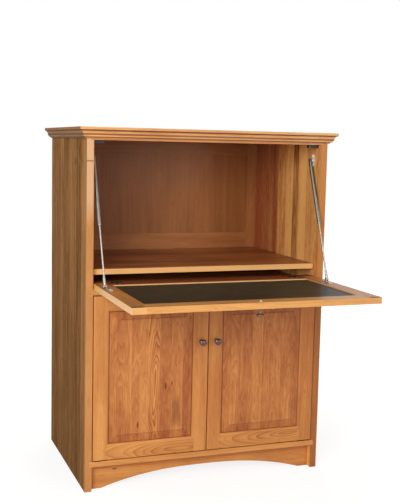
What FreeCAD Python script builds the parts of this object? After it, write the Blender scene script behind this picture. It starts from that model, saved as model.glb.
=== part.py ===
import FreeCAD, Part
import math
import os

# Computer armoire in solid cherry. Units are millimetres, +X to the right, +Y to the back, +Z up.
# Pieces are built in case coordinates: X = 0 on the centre line, Y = 0 at the front edges of the sides,
# Z = 0 on the floor. The last section moves them so that the origin lies at the middle of the base.
# The flap is built upright, as if closed, and then laid down about its hinge line.

V = FreeCAD.Vector

# ------------------------------------------------------------------ driving dimensions: the case
CASE_WIDTH = 904.0
CASE_DEPTH = 602.0
OVERALL_HEIGHT = 1270.0
SIDE_THICK = 25.0
LID_THICK = 18.5
TOP_BOARD_THICK = 25.0
DIVIDER_THICK = 18.0
BOTTOM_BOARD_THICK = 19.0
BOTTOM_BOARD_TOP = 107.0
WRITING_HEIGHT = 737.0          # top of the open flap
HOUSING_DEPTH = 10.0            # housings in the sides that take the boards
HOUSING_FIT = 0.1

APRON_THICK = 20.0
APRON_SETBACK = 25.0
APRON_FOOT = 39.0               # flat on the floor at each end
ARCH_RISE = 50.5
ARCH_SQUARENESS = 2.4           # 2 is a parabola, more gives a flatter crown to the arch
ARCH_POINTS = 6
CORNER_BLOCK = 42.0

CROWN_HEIGHT = 38.0
CROWN_PROJECTION = 29.0
CROWN_FILLET = 9.0
CROWN_FILLET_STEP = 2.0
CROWN_COVE_OUT = 25.5
CROWN_COVE_IN = 17.5
CROWN_COVE_DROP = 13.0
CROWN_COVE_HOLLOW = 2.2
CROWN_OVOLO_OUT = 15.5
CROWN_OVOLO_IN = 6.0
CROWN_OVOLO_BULGE = 2.4
CROWN_FOOT = 3.5

BACK_THICK = 12.0
BACK_STILE_WIDTH = 50.0
BACK_BOTTOM_RAIL_RISE = 56.0    # above the bottom board
BACK_TOP_RAIL_DROP = 50.0       # below the top board
BACK_MID_RAIL_RISE = 64.5       # its top above the monitor shelf
BACK_MID_RAIL_WIDTH = 95.0
BACK_PANEL_THICK = 4.8
BACK_SLOT_WIDTH = 120.0
BACK_SLOT_HEIGHT = 50.0
BACK_SLOT_RISE = 60.0           # above the lower rail
BACK_SLOT_INSET = 60.0          # from the left stile

SHELF_THICK = 19.0
SHELF_RISE = 47.5               # its top above the writing height
SHELF_SETBACK = 26.0
SHELF_SIDE_GAP = 3.5
SHELF_BACK_GAP = 2.0
CABLE_NOTCH_WIDTH = 140.0       # in the back edges of the shelf and the divider
CABLE_NOTCH_DEPTH = 34.0
CLEAT_SIZE = 20.0
CLEAT_SETBACK = 150.0

LOWER_SHELF_THICK = 18.0
LOWER_SHELF_TOP = 560.0
LOWER_SHELF_SETBACK = 140.0
LOWER_SHELF_SIDE_GAP = 1.5
PIN_RADIUS = 2.5
PIN_HOLE_FIT = 0.1
PIN_HOLE_DEPTH = 12.0
PIN_LENGTH = 19.0
PIN_INSET = 45.0                # from the shelf's front and back edges
PIN_PITCH = 50.0
PIN_STEPS = (-2, -1, 0, 1, 2)

# ------------------------------------------------------------------ driving dimensions: frames and panels
FRAME_THICK = 21.0              # doors and flap
FRAME_FLAT = 47.0               # flat width of a frame member, up to the joint line
STICKING_WIDTH = 9.0            # moulded edge that runs round the panel, mitred at the corners
STICKING_STEP = 1.0
STICKING_DEPTH = 6.0
STICKING_BULGE = 1.4
GROOVE_DEPTH = 8.5
GROOVE_WIDTH = 6.2
TONGUE_LENGTH = 7.5
TONGUE_FIT = 0.1
TENON_LENGTH = 30.0
TENON_SHOULDER = 10.0
PANEL_EDGE_FIT = 0.5
PANEL_BEVEL = 30.0
PANEL_FIELD_DEPTH = 1.0
PANEL_STEP = 1.2
PANEL_EDGE_DEPTH = 6.0
PANEL_GROOVE_FRONT = 7.0
DOOR_PANEL_BACK = 15.0

# ------------------------------------------------------------------ driving dimensions: doors
DOOR_GAP = 3.5
DOOR_MEETING_GAP = 4.0
DOOR_PIVOT_IN = 8.0             # from the door's outer edge
DOOR_PIVOT_BACK = 6.0           # behind the door's face
PIVOT_PLATE_LENGTH = 50.0
PIVOT_PLATE_WIDTH = 11.0
PIVOT_PLATE_THICK = 2.5
PIVOT_PIN_RADIUS = 2.5
PIVOT_FIT = 0.06
PIVOT_WASHER_RADIUS = 4.5
PIVOT_WASHER_FIT = 0.2
DOOR_KNOB_HEIGHT = 516.5
DOOR_KNOB_INSET = 27.0          # from the meeting edge
DOOR_CATCH_WIDTH = 56.0
DOOR_CATCH_DEPTH = 20.0
DOOR_CATCH_HEIGHT = 13.0
DOOR_STRIKE_WIDTH = 16.0
DOOR_STRIKE_HEIGHT = 12.0

# ------------------------------------------------------------------ driving dimensions: flap
FLAP_SIDE_GAP = 3.0
FLAP_TOP_GAP = 2.5
FLAP_REST_GAP = 0.3             # between the open flap and the divider
FLAP_HEEL_GAP = 0.3             # between the flap's heel and its hinge line
FLAP_PANEL_BACK = 15.0
WRITING_SURFACE_THICK = 2.5
HINGE_RAIL_DEPTH = 45.0
HINGE_RAIL_GAP = 0.3            # behind the hinge line

FLAP_HINGE_INSET = 112.5        # from the case's outer side to the middle of the hinge
FLAP_HINGE_WIDTH = 36.0
FLAP_HINGE_LEAF = 19.0
FLAP_HINGE_THICK = 2.0
FLAP_KNUCKLE_RADIUS = 3.0
FLAP_KNUCKLE_CLEAR = 0.4
FLAP_KNUCKLE_GAP = 0.3
FLAP_PIN_RADIUS = 1.5
FLAP_PIN_FIT = 0.06

FLAP_KNOB_INSET = 20.0          # from the flap's free edge
FLAP_CATCH_WIDTH = 40.0
FLAP_CATCH_DEPTH = 18.0
FLAP_CATCH_HEIGHT = 11.0
FLAP_STRIKE_WIDTH = 36.5
FLAP_STRIKE_HEIGHT = 13.0
STRIKE_THICK = 1.6
STRIKE_PROUD = 0.7
STRIKE_INSET = 1.0
CATCH_PLATE_WIDTH = 20.0
CATCH_PLATE_HEIGHT = 8.0
CATCH_PLATE_PROUD = 0.6
CATCH_AIR = 0.4                 # between a catch's plate and the closed strike

# ------------------------------------------------------------------ driving dimensions: knobs
KNOB_PROJECTION = 30.0
KNOB_HEAD_RADIUS = 12.5
KNOB_HEAD_HEIGHT = 11.0
KNOB_CROWN_HEIGHT = 6.0         # from the widest part of the head to its tip
KNOB_CAP_RISE = 4.0              # of the head's rounded top
KNOB_EDGE_ROUND = 1.4
KNOB_LIP_RADIUS = 9.8
KNOB_STEM_RADIUS = 5.4
KNOB_THROAT = 7.5
KNOB_HOLLOW = 4.5                # height of the curve from the stem out to the head
KNOB_FLARE = 0.7
KNOB_BASE_RADIUS = 8.0
KNOB_BASE_HEIGHT = 2.5
SCREW_RADIUS = 2.0
SCREW_FIT = 0.15
SCREW_HEAD_RADIUS = 4.5
SCREW_HEAD_HEIGHT = 2.2
SCREW_BITE = 13.0               # length of the screw inside the knob

# ------------------------------------------------------------------ driving dimensions: flap stays
STAY_OFFSET = 13.8              # from the side's inner face to the stay's axis
STAY_LOWER_REACH = 127.0        # along the flap from the hinge line
STAY_LOWER_RISE = 7.8           # above the flap's inner face
STAY_UPPER_BACK = 61.3          # behind the sides' front edges
STAY_UPPER_DROP = 57.8          # below the top board
STAY_TUBE_LENGTH = 246.0
STAY_TUBE_RADIUS = 6.5
STAY_SLIDE_FIT = 0.08           # between the rod and the tube's bore
STAY_MOUTH_RADIUS = 5.2
STAY_MOUTH_LENGTH = 5.0
STAY_BLIND_END = 19.0           # solid end of the tube, beyond the bore
STAY_ROD_RADIUS = 3.0
STAY_OVERLAP = 42.0             # of rod and tube when the stay is fully drawn out
STAY_FERRULE_RADIUS = 4.6
STAY_FERRULE_LENGTH = 30.0
STAY_EYE_RADIUS = 6.0
STAY_EYE_WIDTH = 7.0
STAY_PIN_RADIUS = 2.5
STAY_PIN_FIT = 0.06
STAY_PIN_HEAD_RADIUS = 4.0
STAY_PIN_HEAD = 1.5
STAY_EYE_GAP = 0.6
STAY_PLATE_THICK = 2.0
STAY_PLATE_WIDTH = 20.0
STAY_PLATE_HEIGHT = 46.0
STAY_BOSS_RADIUS = 4.5
STAY_LUG_HALF = 6.0
STAY_FOOT_WIDTH = 13.0
STAY_FOOT_LENGTH = 54.0
STAY_FOOT_HEEL = 8.0            # foot behind the pin
STAY_DOME_RADIUS = 5.0
STAY_DOME_HEIGHT = 3.2
STAY_DOME_INSET = 12.0          # from the front end of the foot

# ------------------------------------------------------------------ places worked out from those
HALF_WIDTH = CASE_WIDTH / 2
INNER_HALF = HALF_WIDTH - SIDE_THICK
HOUSED_HALF = INNER_HALF + HOUSING_DEPTH
BACK_FRONT = CASE_DEPTH - BACK_THICK
TOP_BOARD_TOP = OVERALL_HEIGHT - LID_THICK
TOP_BOARD_BOTTOM = TOP_BOARD_TOP - TOP_BOARD_THICK
BOTTOM_BOARD_BOTTOM = BOTTOM_BOARD_TOP - BOTTOM_BOARD_THICK
DIVIDER_TOP = WRITING_HEIGHT - FRAME_THICK - FLAP_REST_GAP
DIVIDER_BOTTOM = DIVIDER_TOP - DIVIDER_THICK
SHELF_TOP = WRITING_HEIGHT + SHELF_RISE
SHELF_BOTTOM = SHELF_TOP - SHELF_THICK
BACK_MID_RAIL_TOP = SHELF_TOP + BACK_MID_RAIL_RISE
LOWER_SHELF_BOTTOM = LOWER_SHELF_TOP - LOWER_SHELF_THICK
LOWER_SHELF_BACK = BACK_FRONT - SHELF_BACK_GAP

HINGE_LINE = V(0, FRAME_THICK, WRITING_HEIGHT)
STRIKE_BACK = FRAME_THICK + STRIKE_PROUD
CATCH_FACE = STRIKE_BACK + CATCH_AIR
FLAP_HALF = INNER_HALF - FLAP_SIDE_GAP
FLAP_LOW = WRITING_HEIGHT + FLAP_HEEL_GAP
FLAP_HIGH = TOP_BOARD_BOTTOM - FLAP_TOP_GAP
FLAP_REACH = FLAP_HIGH - WRITING_HEIGHT - FRAME_THICK    # how far the open flap stands out

DOOR_LOW = BOTTOM_BOARD_TOP + DOOR_GAP
DOOR_HIGH = DIVIDER_BOTTOM - DOOR_GAP
DOOR_OUTER = INNER_HALF - DOOR_GAP
DOOR_INNER = DOOR_MEETING_GAP / 2
DOOR_PIVOT_X = DOOR_OUTER - DOOR_PIVOT_IN

FRAME_MEMBER = FRAME_FLAT + STICKING_WIDTH
STAY_X = INNER_HALF - STAY_OFFSET
STAY_LOWER = V(-STAY_X, FRAME_THICK - STAY_LOWER_REACH, WRITING_HEIGHT + STAY_LOWER_RISE)
STAY_UPPER = V(-STAY_X, STAY_UPPER_BACK, TOP_BOARD_BOTTOM - STAY_UPPER_DROP)
STAY_ROD_LENGTH = (STAY_UPPER - STAY_LOWER).Length - STAY_TUBE_LENGTH + STAY_OVERLAP

CASE_SHIFT = V(0, (FLAP_REACH - CASE_DEPTH) / 2, 0)

pieces = {}


# ------------------------------------------------------------------ shape helpers
def box(x0, x1, y0, y1, z0, z1):
    return Part.makeBox(x1 - x0, y1 - y0, z1 - z0, V(x0, y0, z0))


def rod(radius, start, end):
    axis = end - start
    return Part.makeCylinder(radius, axis.Length, start, axis)


def mirrored(shape):
    return shape.mirror(V(0, 0, 0), V(1, 0, 0))


def both_sides(shape):
    return Part.makeCompound([shape, mirrored(shape)])


def fused(shapes):
    return shapes[0].fuse(shapes[1:]).removeSplitter()


def polygon_face(points):
    return Part.Face(Part.makePolygon(points + [points[0]]))


def rectangle(x0, x1, z0, z1, y):
    corners = [V(x0, y, z0), V(x1, y, z0), V(x1, y, z1), V(x0, y, z1)]
    return Part.makePolygon(corners + [corners[0]])


def laid_open(shape):
    """Turns a piece of the upright flap about the hinge line into the open flap."""
    copy = shape.copy()
    copy.rotate(HINGE_LINE, V(1, 0, 0), 90)
    return copy


def add(name, shape):
    pieces[name] = shape


# ------------------------------------------------------------------ frames and raised panels
def groove_span():
    return PANEL_GROOVE_FRONT, PANEL_GROOVE_FRONT + GROOVE_WIDTH


def tongue_span():
    front, back = groove_span()
    return front + TONGUE_FIT, back - TONGUE_FIT


def sticking_section(at):
    """Section of the moulded edge; at(d, y) gives the point d past the joint line, y behind the face."""
    front, back = groove_span()
    root = STICKING_WIDTH - GROOVE_DEPTH
    start = at(0, STICKING_STEP)
    end = at(STICKING_WIDTH, STICKING_DEPTH)
    middle = at((STICKING_WIDTH + STICKING_BULGE) / 2, (STICKING_STEP + STICKING_DEPTH) / 2 - STICKING_BULGE)
    rest = [end, at(STICKING_WIDTH, front), at(root, front), at(root, back), at(STICKING_WIDTH, back),
            at(STICKING_WIDTH, FRAME_THICK), at(0, FRAME_THICK), start]
    return Part.Face(Part.Wire([Part.Arc(start, middle, end).toShape()] + Part.makePolygon(rest).Edges))


def mitre_room(points):
    """The space between two mitre cuts, given as (x, z) points in the plane of the frame."""
    return polygon_face([V(x, -1, z) for x, z in points]).extrude(V(0, FRAME_THICK + 2, 0))


def stile(edge, inward, z0, z1):
    """An upright of a door or of the flap: edge is its outer edge, inward is +1 or -1 towards the panel."""
    joint = edge + inward * FRAME_FLAT
    inner = edge + inward * FRAME_MEMBER
    section = sticking_section(lambda d, y: V(joint + inward * d, y, z0))
    bar = section.extrude(V(0, 0, z1 - z0))
    room = mitre_room([(joint, z0 + FRAME_FLAT), (inner, z0 + FRAME_MEMBER), (inner, z1 - FRAME_MEMBER),
                       (joint, z1 - FRAME_FLAT)])
    bar = bar.common(room)
    body = fused([box(min(edge, joint), max(edge, joint), 0, FRAME_THICK, z0, z1), bar])
    y0, y1 = tongue_span()
    deep = joint - inward * (TENON_LENGTH + TONGUE_FIT)
    for low in (z0 + TENON_SHOULDER, z1 - FRAME_FLAT):
        mortise = box(min(joint, deep), max(joint, deep), y0, y1, low, low + FRAME_FLAT - TENON_SHOULDER)
        body = body.cut(mortise)
    return body


def rail(x0, x1, edge, inward):
    """A cross member between the joint lines x0 and x1, with a tenon at each end."""
    joint = edge + inward * FRAME_FLAT
    inner = edge + inward * FRAME_MEMBER
    section = sticking_section(lambda d, y: V(x0, y, joint + inward * d))
    bar = section.extrude(V(x1 - x0, 0, 0))
    w = STICKING_WIDTH
    bar = bar.common(mitre_room([(x0, joint), (x0 + w, inner), (x1 - w, inner), (x1, joint)]))
    y0, y1 = tongue_span()
    shoulder = edge + inward * TENON_SHOULDER
    tenon = box(x0 - TENON_LENGTH, x1 + TENON_LENGTH, y0, y1, min(shoulder, joint), max(shoulder, joint))
    flat = box(x0, x1, 0, FRAME_THICK, min(edge, joint), max(edge, joint))
    return fused([flat, tenon, bar])


def raised_panel(x0, x1, z0, z1, back):
    """A panel that fills the opening x0..x1, z0..z1, raised towards -Y, with a bevelled margin."""
    fit = PANEL_EDGE_FIT
    edge_y = PANEL_EDGE_DEPTH
    field_y = PANEL_FIELD_DEPTH
    y0, y1 = tongue_span()
    shoulder_y = field_y + PANEL_STEP
    slab = box(x0 + fit, x1 - fit, edge_y, back, z0 + fit, z1 - fit)
    tongue = box(x0 - TONGUE_LENGTH, x1 + TONGUE_LENGTH, y0, y1, z0 - TONGUE_LENGTH, z1 + TONGUE_LENGTH)
    foot = rectangle(x0 + fit, x1 - fit, z0 + fit, z1 - fit, edge_y)
    brow = rectangle(x0 + PANEL_BEVEL, x1 - PANEL_BEVEL, z0 + PANEL_BEVEL, z1 - PANEL_BEVEL, shoulder_y)
    bevel = Part.makeLoft([foot, brow], True, True)
    field = box(x0 + PANEL_BEVEL, x1 - PANEL_BEVEL, field_y, shoulder_y, z0 + PANEL_BEVEL, z1 - PANEL_BEVEL)
    return fused([slab, tongue, bevel, field])


# ------------------------------------------------------------------ knobs, screws and catches
def knob(x, z):
    """A turned mushroom knob on a face at Y = 0, standing out towards -Y, bored for its screw."""
    neck = KNOB_PROJECTION - KNOB_HEAD_HEIGHT
    widest = KNOB_PROJECTION - KNOB_CROWN_HEIGHT
    bore, depth = SCREW_RADIUS + SCREW_FIT, SCREW_BITE + SCREW_FIT
    foot = [V(bore, 0, 0), V(KNOB_BASE_RADIUS, 0, 0), V(KNOB_BASE_RADIUS, -KNOB_BASE_HEIGHT, 0)]
    flare = V(KNOB_STEM_RADIUS + KNOB_FLARE, -KNOB_BASE_HEIGHT - 2 * KNOB_FLARE, 0)
    throat = V(KNOB_STEM_RADIUS, -KNOB_THROAT, 0)
    swell = V(KNOB_STEM_RADIUS, KNOB_HOLLOW - neck, 0)
    lip = V(KNOB_LIP_RADIUS, -neck, 0)
    spread = V(lip.x - swell.x, swell.y - lip.y, 0)
    hollow = swell + V(spread.x * (1 - math.cos(math.pi / 4)), -spread.y * math.sin(math.pi / 4), 0)
    rim = V(KNOB_HEAD_RADIUS, -widest, 0)
    under = (lip + rim) * 0.5 + V(KNOB_FLARE, KNOB_FLARE, 0)
    tip = V(0, -KNOB_PROJECTION, 0)
    cap_radius = KNOB_HEAD_RADIUS - KNOB_EDGE_ROUND
    brow = V(cap_radius, KNOB_CAP_RISE - KNOB_PROJECTION, 0)
    shoulder = (rim + brow) * 0.5 + V(KNOB_EDGE_ROUND * 0.3, -KNOB_EDGE_ROUND * 0.3, 0)
    ball = (cap_radius ** 2 + KNOB_CAP_RISE ** 2) / (2 * KNOB_CAP_RISE)
    half_angle = math.asin(cap_radius / ball) / 2
    crown = V(ball * math.sin(half_angle), ball - KNOB_PROJECTION - ball * math.cos(half_angle), 0)
    edges = Part.makePolygon(foot).Edges
    edges += [Part.Arc(foot[2], flare, throat).toShape(), Part.makeLine(throat, swell)]
    edges += [Part.Arc(swell, hollow, lip).toShape(), Part.Arc(lip, under, rim).toShape()]
    edges += [Part.Arc(rim, shoulder, brow).toShape()]
    edges += [Part.Arc(brow, crown, tip).toShape()]
    edges += Part.makePolygon([tip, V(0, -depth, 0), V(bore, -depth, 0), foot[0]]).Edges
    solid = Part.Face(Part.Wire(Part.__sortEdges__(edges))).revolve(V(0, 0, 0), V(0, 1, 0), 360)
    solid.translate(V(x, 0, z))
    return solid


def knob_screw(x, z, inner_face):
    """The screw that holds a knob from the inside of a frame member."""
    shank = rod(SCREW_RADIUS, V(x, inner_face, z), V(x, -SCREW_BITE, z))
    head = rod(SCREW_HEAD_RADIUS, V(x, inner_face, z), V(x, inner_face + SCREW_HEAD_HEIGHT, z))
    rim = [e for e in head.Edges if e.Curve.TypeId == "Part::GeomCircle"
           and abs(e.Curve.Center.y - inner_face - SCREW_HEAD_HEIGHT) < 1e-6]
    head = head.makeFillet(SCREW_HEAD_HEIGHT * 0.6, rim)
    return fused([shank, head])


def screw_hole(x, z, inner_face):
    return rod(SCREW_RADIUS + SCREW_FIT, V(x, -1, z), V(x, inner_face + 1, z))


# ------------------------------------------------------------------ the case
def side_panel():
    """The left side; the right one is its mirror image."""
    left = -HALF_WIDTH
    inner = -INNER_HALF
    housed = -HOUSED_HALF
    body = box(left, inner, 0, CASE_DEPTH, 0, TOP_BOARD_TOP)
    for low, high in ((BOTTOM_BOARD_BOTTOM, BOTTOM_BOARD_TOP), (DIVIDER_BOTTOM, DIVIDER_TOP),
                      (TOP_BOARD_BOTTOM, TOP_BOARD_TOP)):
        body = body.cut(box(housed, inner, 0, BACK_FRONT, low, high))
    body = body.cut(box(housed, inner, BACK_FRONT, CASE_DEPTH, BOTTOM_BOARD_BOTTOM, TOP_BOARD_TOP))
    for y in pin_rows():
        for step in PIN_STEPS:
            z = pin_height() + step * PIN_PITCH
            bottom, mouth = V(inner - PIN_HOLE_DEPTH, y, z), V(inner + 1, y, z)
            body = body.cut(rod(PIN_RADIUS + PIN_HOLE_FIT, bottom, mouth))
    return body


def housed_board(z0, z1):
    reach = HOUSED_HALF - HOUSING_FIT
    return box(-reach, reach, 0, BACK_FRONT, z0, z1)


def arch_height(x):
    half = INNER_HALF - APRON_FOOT
    return ARCH_RISE * (1 - (abs(x) / half) ** ARCH_SQUARENESS)


def apron():
    """The front foot rail: straight on top, with one long arch between two flat feet."""
    half = INNER_HALF - APRON_FOOT
    y0 = APRON_SETBACK
    xs = [-half + half * k / ARCH_POINTS for k in range(2 * ARCH_POINTS + 1)]
    curve = Part.BSplineCurve()
    curve.interpolate([V(x, y0, arch_height(x)) for x in xs])
    outline = Part.Wire([
        Part.makeLine(V(-half, y0, 0), V(-INNER_HALF, y0, 0)),
        Part.makeLine(V(-INNER_HALF, y0, 0), V(-INNER_HALF, y0, BOTTOM_BOARD_BOTTOM)),
        Part.makeLine(V(-INNER_HALF, y0, BOTTOM_BOARD_BOTTOM), V(INNER_HALF, y0, BOTTOM_BOARD_BOTTOM)),
        Part.makeLine(V(INNER_HALF, y0, BOTTOM_BOARD_BOTTOM), V(INNER_HALF, y0, 0)),
        Part.makeLine(V(INNER_HALF, y0, 0), V(half, y0, 0)),
        curve.toShape(),
    ])
    return Part.Face(outline).extrude(V(0, APRON_THICK, 0))


def corner_blocks():
    """Glued triangular blocks that brace the apron to the sides, under the bottom board."""
    y = APRON_SETBACK + APRON_THICK
    x = -INNER_HALF
    z = BOTTOM_BOARD_BOTTOM - CORNER_BLOCK
    face = polygon_face([V(x, y, z), V(x + CORNER_BLOCK, y, z), V(x, y + CORNER_BLOCK, z)])
    return both_sides(face.extrude(V(0, 0, CORNER_BLOCK)))


def crown_section(out):
    """The moulding's section; out(p) gives the point at projection p on the floor of the section."""
    def at(p, drop):
        return out(p) + V(0, 0, OVERALL_HEIGHT - drop)

    ledge = CROWN_FILLET + CROWN_FILLET_STEP
    cove_end = ledge + CROWN_COVE_DROP
    ovolo_top = cove_end + CROWN_FILLET_STEP
    ovolo_end = CROWN_HEIGHT - CROWN_FOOT
    cove_mid = at((CROWN_COVE_OUT + CROWN_COVE_IN) / 2 - CROWN_COVE_HOLLOW, (ledge + cove_end) / 2 - 1)
    ovolo_mid = at((CROWN_OVOLO_OUT + CROWN_OVOLO_IN) / 2 + CROWN_OVOLO_BULGE,
                   (ovolo_top + ovolo_end) / 2 + CROWN_OVOLO_BULGE / 2)
    second = CROWN_PROJECTION - CROWN_FILLET_STEP
    upper = [at(0, 0), at(CROWN_PROJECTION, 0), at(CROWN_PROJECTION, CROWN_FILLET), at(second, CROWN_FILLET),
             at(second, ledge), at(CROWN_COVE_OUT, ledge)]
    middle = [at(CROWN_COVE_IN, cove_end), at(CROWN_COVE_IN, ovolo_top), at(CROWN_OVOLO_OUT, ovolo_top)]
    lower = [at(CROWN_OVOLO_IN, ovolo_end), at(CROWN_OVOLO_IN, CROWN_HEIGHT), at(0, CROWN_HEIGHT), upper[0]]
    edges = Part.makePolygon(upper).Edges
    edges += [Part.Arc(upper[-1], cove_mid, middle[0]).toShape()]
    edges += Part.makePolygon(middle).Edges
    edges += [Part.Arc(middle[-1], ovolo_mid, lower[0]).toShape()]
    edges += Part.makePolygon(lower).Edges
    return Part.Face(Part.Wire(edges))


def crown_pieces():
    """Front and left lengths of the crown moulding, mitred where they meet."""
    p = CROWN_PROJECTION
    low = OVERALL_HEIGHT - CROWN_HEIGHT - 1
    corner = V(-HALF_WIDTH, 0, low)
    tip = V(-HALF_WIDTH - 2 * p, -2 * p, low)
    front_section = crown_section(lambda q: V(-HALF_WIDTH - p, -q, 0))
    front_bar = front_section.extrude(V(CASE_WIDTH + 2 * p, 0, 0))
    front_room = polygon_face([corner, tip, V(HALF_WIDTH + 2 * p, -2 * p, low), V(HALF_WIDTH, 0, low)])
    front = front_bar.common(front_room.extrude(V(0, 0, CROWN_HEIGHT + 2)))
    side_section = crown_section(lambda q: V(-HALF_WIDTH - q, -p, 0))
    side_bar = side_section.extrude(V(0, CASE_DEPTH + p, 0))
    outer_back, inner_back = V(-HALF_WIDTH - 2 * p, CASE_DEPTH, low), V(-HALF_WIDTH, CASE_DEPTH, low)
    side_room = polygon_face([corner, tip, outer_back, inner_back])
    side = side_bar.common(side_room.extrude(V(0, 0, CROWN_HEIGHT + 2)))
    return front, side


def back_frame():
    """Frame-and-panel back, let into rebates in the sides."""
    groove_front = BACK_FRONT + (BACK_THICK - BACK_PANEL_THICK) / 2 - TONGUE_FIT
    groove = (groove_front, groove_front + BACK_PANEL_THICK + 2 * TONGUE_FIT)
    z0, z1 = BOTTOM_BOARD_BOTTOM, TOP_BOARD_TOP
    edge = HOUSED_HALF - HOUSING_FIT
    inner = edge - BACK_STILE_WIDTH
    body = box(-edge, -inner, BACK_FRONT, CASE_DEPTH, z0, z1)
    left = body.cut(box(-inner - GROOVE_DEPTH, -inner, groove[0], groove[1], z0, z1))
    add("back_stile_left", left)
    add("back_stile_right", mirrored(left))
    bottom_top = BOTTOM_BOARD_TOP + BACK_BOTTOM_RAIL_RISE
    mid_low = BACK_MID_RAIL_TOP - BACK_MID_RAIL_WIDTH
    top_low = TOP_BOARD_BOTTOM - BACK_TOP_RAIL_DROP
    add("back_rail_bottom", back_rail(inner, z0, bottom_top, groove, False, True))
    add("back_rail_middle", back_rail(inner, mid_low, BACK_MID_RAIL_TOP, groove, True, True))
    add("back_rail_top", back_rail(inner, top_low, z1, groove, True, False))
    add("back_panel_upper", back_panel(inner, BACK_MID_RAIL_TOP, top_low, groove))
    lower = back_panel(inner, bottom_top, mid_low, groove)
    add("back_panel_lower", lower.cut(cable_slot(-inner + BACK_SLOT_INSET, bottom_top + BACK_SLOT_RISE)))


def back_rail(half, z0, z1, groove, panel_below, panel_above):
    """A cross member of the back with stub tongues, grooved where a panel meets it."""
    tongue = half + TONGUE_LENGTH
    body = fused([
        box(-half, half, BACK_FRONT, CASE_DEPTH, z0, z1),
        box(-tongue, tongue, groove[0] + TONGUE_FIT, groove[1] - TONGUE_FIT, z0, z1),
    ])
    cuts = []
    if panel_below:
        cuts.append((z0, z0 + GROOVE_DEPTH))
    if panel_above:
        cuts.append((z1 - GROOVE_DEPTH, z1))
    for low, high in cuts:
        body = body.cut(box(-tongue, tongue, groove[0], groove[1], low, high))
    return body


def back_panel(half, z0, z1, groove):
    t = TONGUE_LENGTH
    return box(-half - t, half + t, groove[0] + TONGUE_FIT, groove[1] - TONGUE_FIT, z0 - t, z1 + t)


def cable_slot(x, z):
    """A level slot with round ends through the back."""
    r = BACK_SLOT_HEIGHT / 2
    start = V(x + r, BACK_FRONT - 1, z + r)
    end = V(x + BACK_SLOT_WIDTH - r, BACK_FRONT - 1, z + r)
    through = V(0, BACK_THICK + 2, 0)
    middle = box(start.x, end.x, start.y, start.y + through.y, z, z + BACK_SLOT_HEIGHT)
    return fused([rod(r, start, start + through), rod(r, end, end + through), middle])


def monitor_shelf():
    half = INNER_HALF - SHELF_SIDE_GAP
    back = BACK_FRONT - SHELF_BACK_GAP
    body = box(-half, half, SHELF_SETBACK, back, SHELF_BOTTOM, SHELF_TOP)
    return body.cut(cable_notch(SHELF_BOTTOM, SHELF_TOP))


def cable_notch(z0, z1):
    """The cut in the back edge of a board that lets cables pass down behind it."""
    half = CABLE_NOTCH_WIDTH / 2
    return box(-half, half, BACK_FRONT - CABLE_NOTCH_DEPTH, BACK_FRONT + 1, z0 - 1, z1 + 1)


def shelf_cleats():
    cleat = box(-INNER_HALF, -INNER_HALF + CLEAT_SIZE, CLEAT_SETBACK, BACK_FRONT, SHELF_BOTTOM - CLEAT_SIZE,
                SHELF_BOTTOM)
    return both_sides(cleat)


def lower_shelf():
    half = INNER_HALF - LOWER_SHELF_SIDE_GAP
    return box(-half, half, LOWER_SHELF_SETBACK, LOWER_SHELF_BACK, LOWER_SHELF_BOTTOM, LOWER_SHELF_TOP)


def pin_rows():
    return (LOWER_SHELF_SETBACK + PIN_INSET, LOWER_SHELF_BACK - PIN_INSET)


def pin_height():
    return LOWER_SHELF_BOTTOM - PIN_RADIUS


def shelf_pins():
    pins = []
    root = -INNER_HALF - PIN_HOLE_DEPTH + 1
    for y in pin_rows():
        pins.append(rod(PIN_RADIUS, V(root, y, pin_height()), V(root + PIN_LENGTH, y, pin_height())))
    return Part.makeCompound(pins + [mirrored(p) for p in pins])


# ------------------------------------------------------------------ catches and strikes
def flap_catch():
    x0 = -INNER_HALF
    y0 = CATCH_FACE + CATCH_PLATE_PROUD
    z1 = TOP_BOARD_BOTTOM
    return box(x0, x0 + FLAP_CATCH_WIDTH, y0, y0 + FLAP_CATCH_DEPTH, z1 - FLAP_CATCH_HEIGHT, z1)


def door_catch():
    y0 = CATCH_FACE + CATCH_PLATE_PROUD
    half = DOOR_CATCH_WIDTH / 2
    return box(-half, half, y0, y0 + DOOR_CATCH_DEPTH, DIVIDER_BOTTOM - DOOR_CATCH_HEIGHT, DIVIDER_BOTTOM)


def pole_plate(x_mid, z_mid, width, height):
    y0 = CATCH_FACE
    return box(x_mid - width / 2, x_mid + width / 2, y0, y0 + CATCH_PLATE_PROUD, z_mid - height / 2,
               z_mid + height / 2)


def catch_plates():
    flap_z = TOP_BOARD_BOTTOM - FLAP_CATCH_HEIGHT / 2
    door_z = DIVIDER_BOTTOM - DOOR_CATCH_HEIGHT / 2
    flap = pole_plate(-INNER_HALF + FLAP_CATCH_WIDTH / 2, flap_z, CATCH_PLATE_WIDTH, CATCH_PLATE_HEIGHT)
    door = pole_plate(-DOOR_CATCH_WIDTH / 4, door_z, DOOR_STRIKE_WIDTH, CATCH_PLATE_HEIGHT)
    return Part.makeCompound([flap, mirrored(flap), door, mirrored(door)])


def flap_strike():
    x0 = -FLAP_HALF + STRIKE_INSET
    z1 = FLAP_HIGH - STRIKE_INSET
    y0 = STRIKE_BACK - STRIKE_THICK
    return box(x0, x0 + FLAP_STRIKE_WIDTH, y0, STRIKE_BACK, z1 - FLAP_STRIKE_HEIGHT, z1)


def door_strike():
    x_mid = -DOOR_CATCH_WIDTH / 4
    half = DOOR_STRIKE_WIDTH / 2
    z1 = DOOR_HIGH - STRIKE_INSET
    y0 = STRIKE_BACK - STRIKE_THICK
    return box(x_mid - half, x_mid + half, y0, STRIKE_BACK, z1 - DOOR_STRIKE_HEIGHT, z1)


# ------------------------------------------------------------------ the flap
def hinge_centres():
    offset = HALF_WIDTH - FLAP_HINGE_INSET
    return (-offset, offset)


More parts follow.
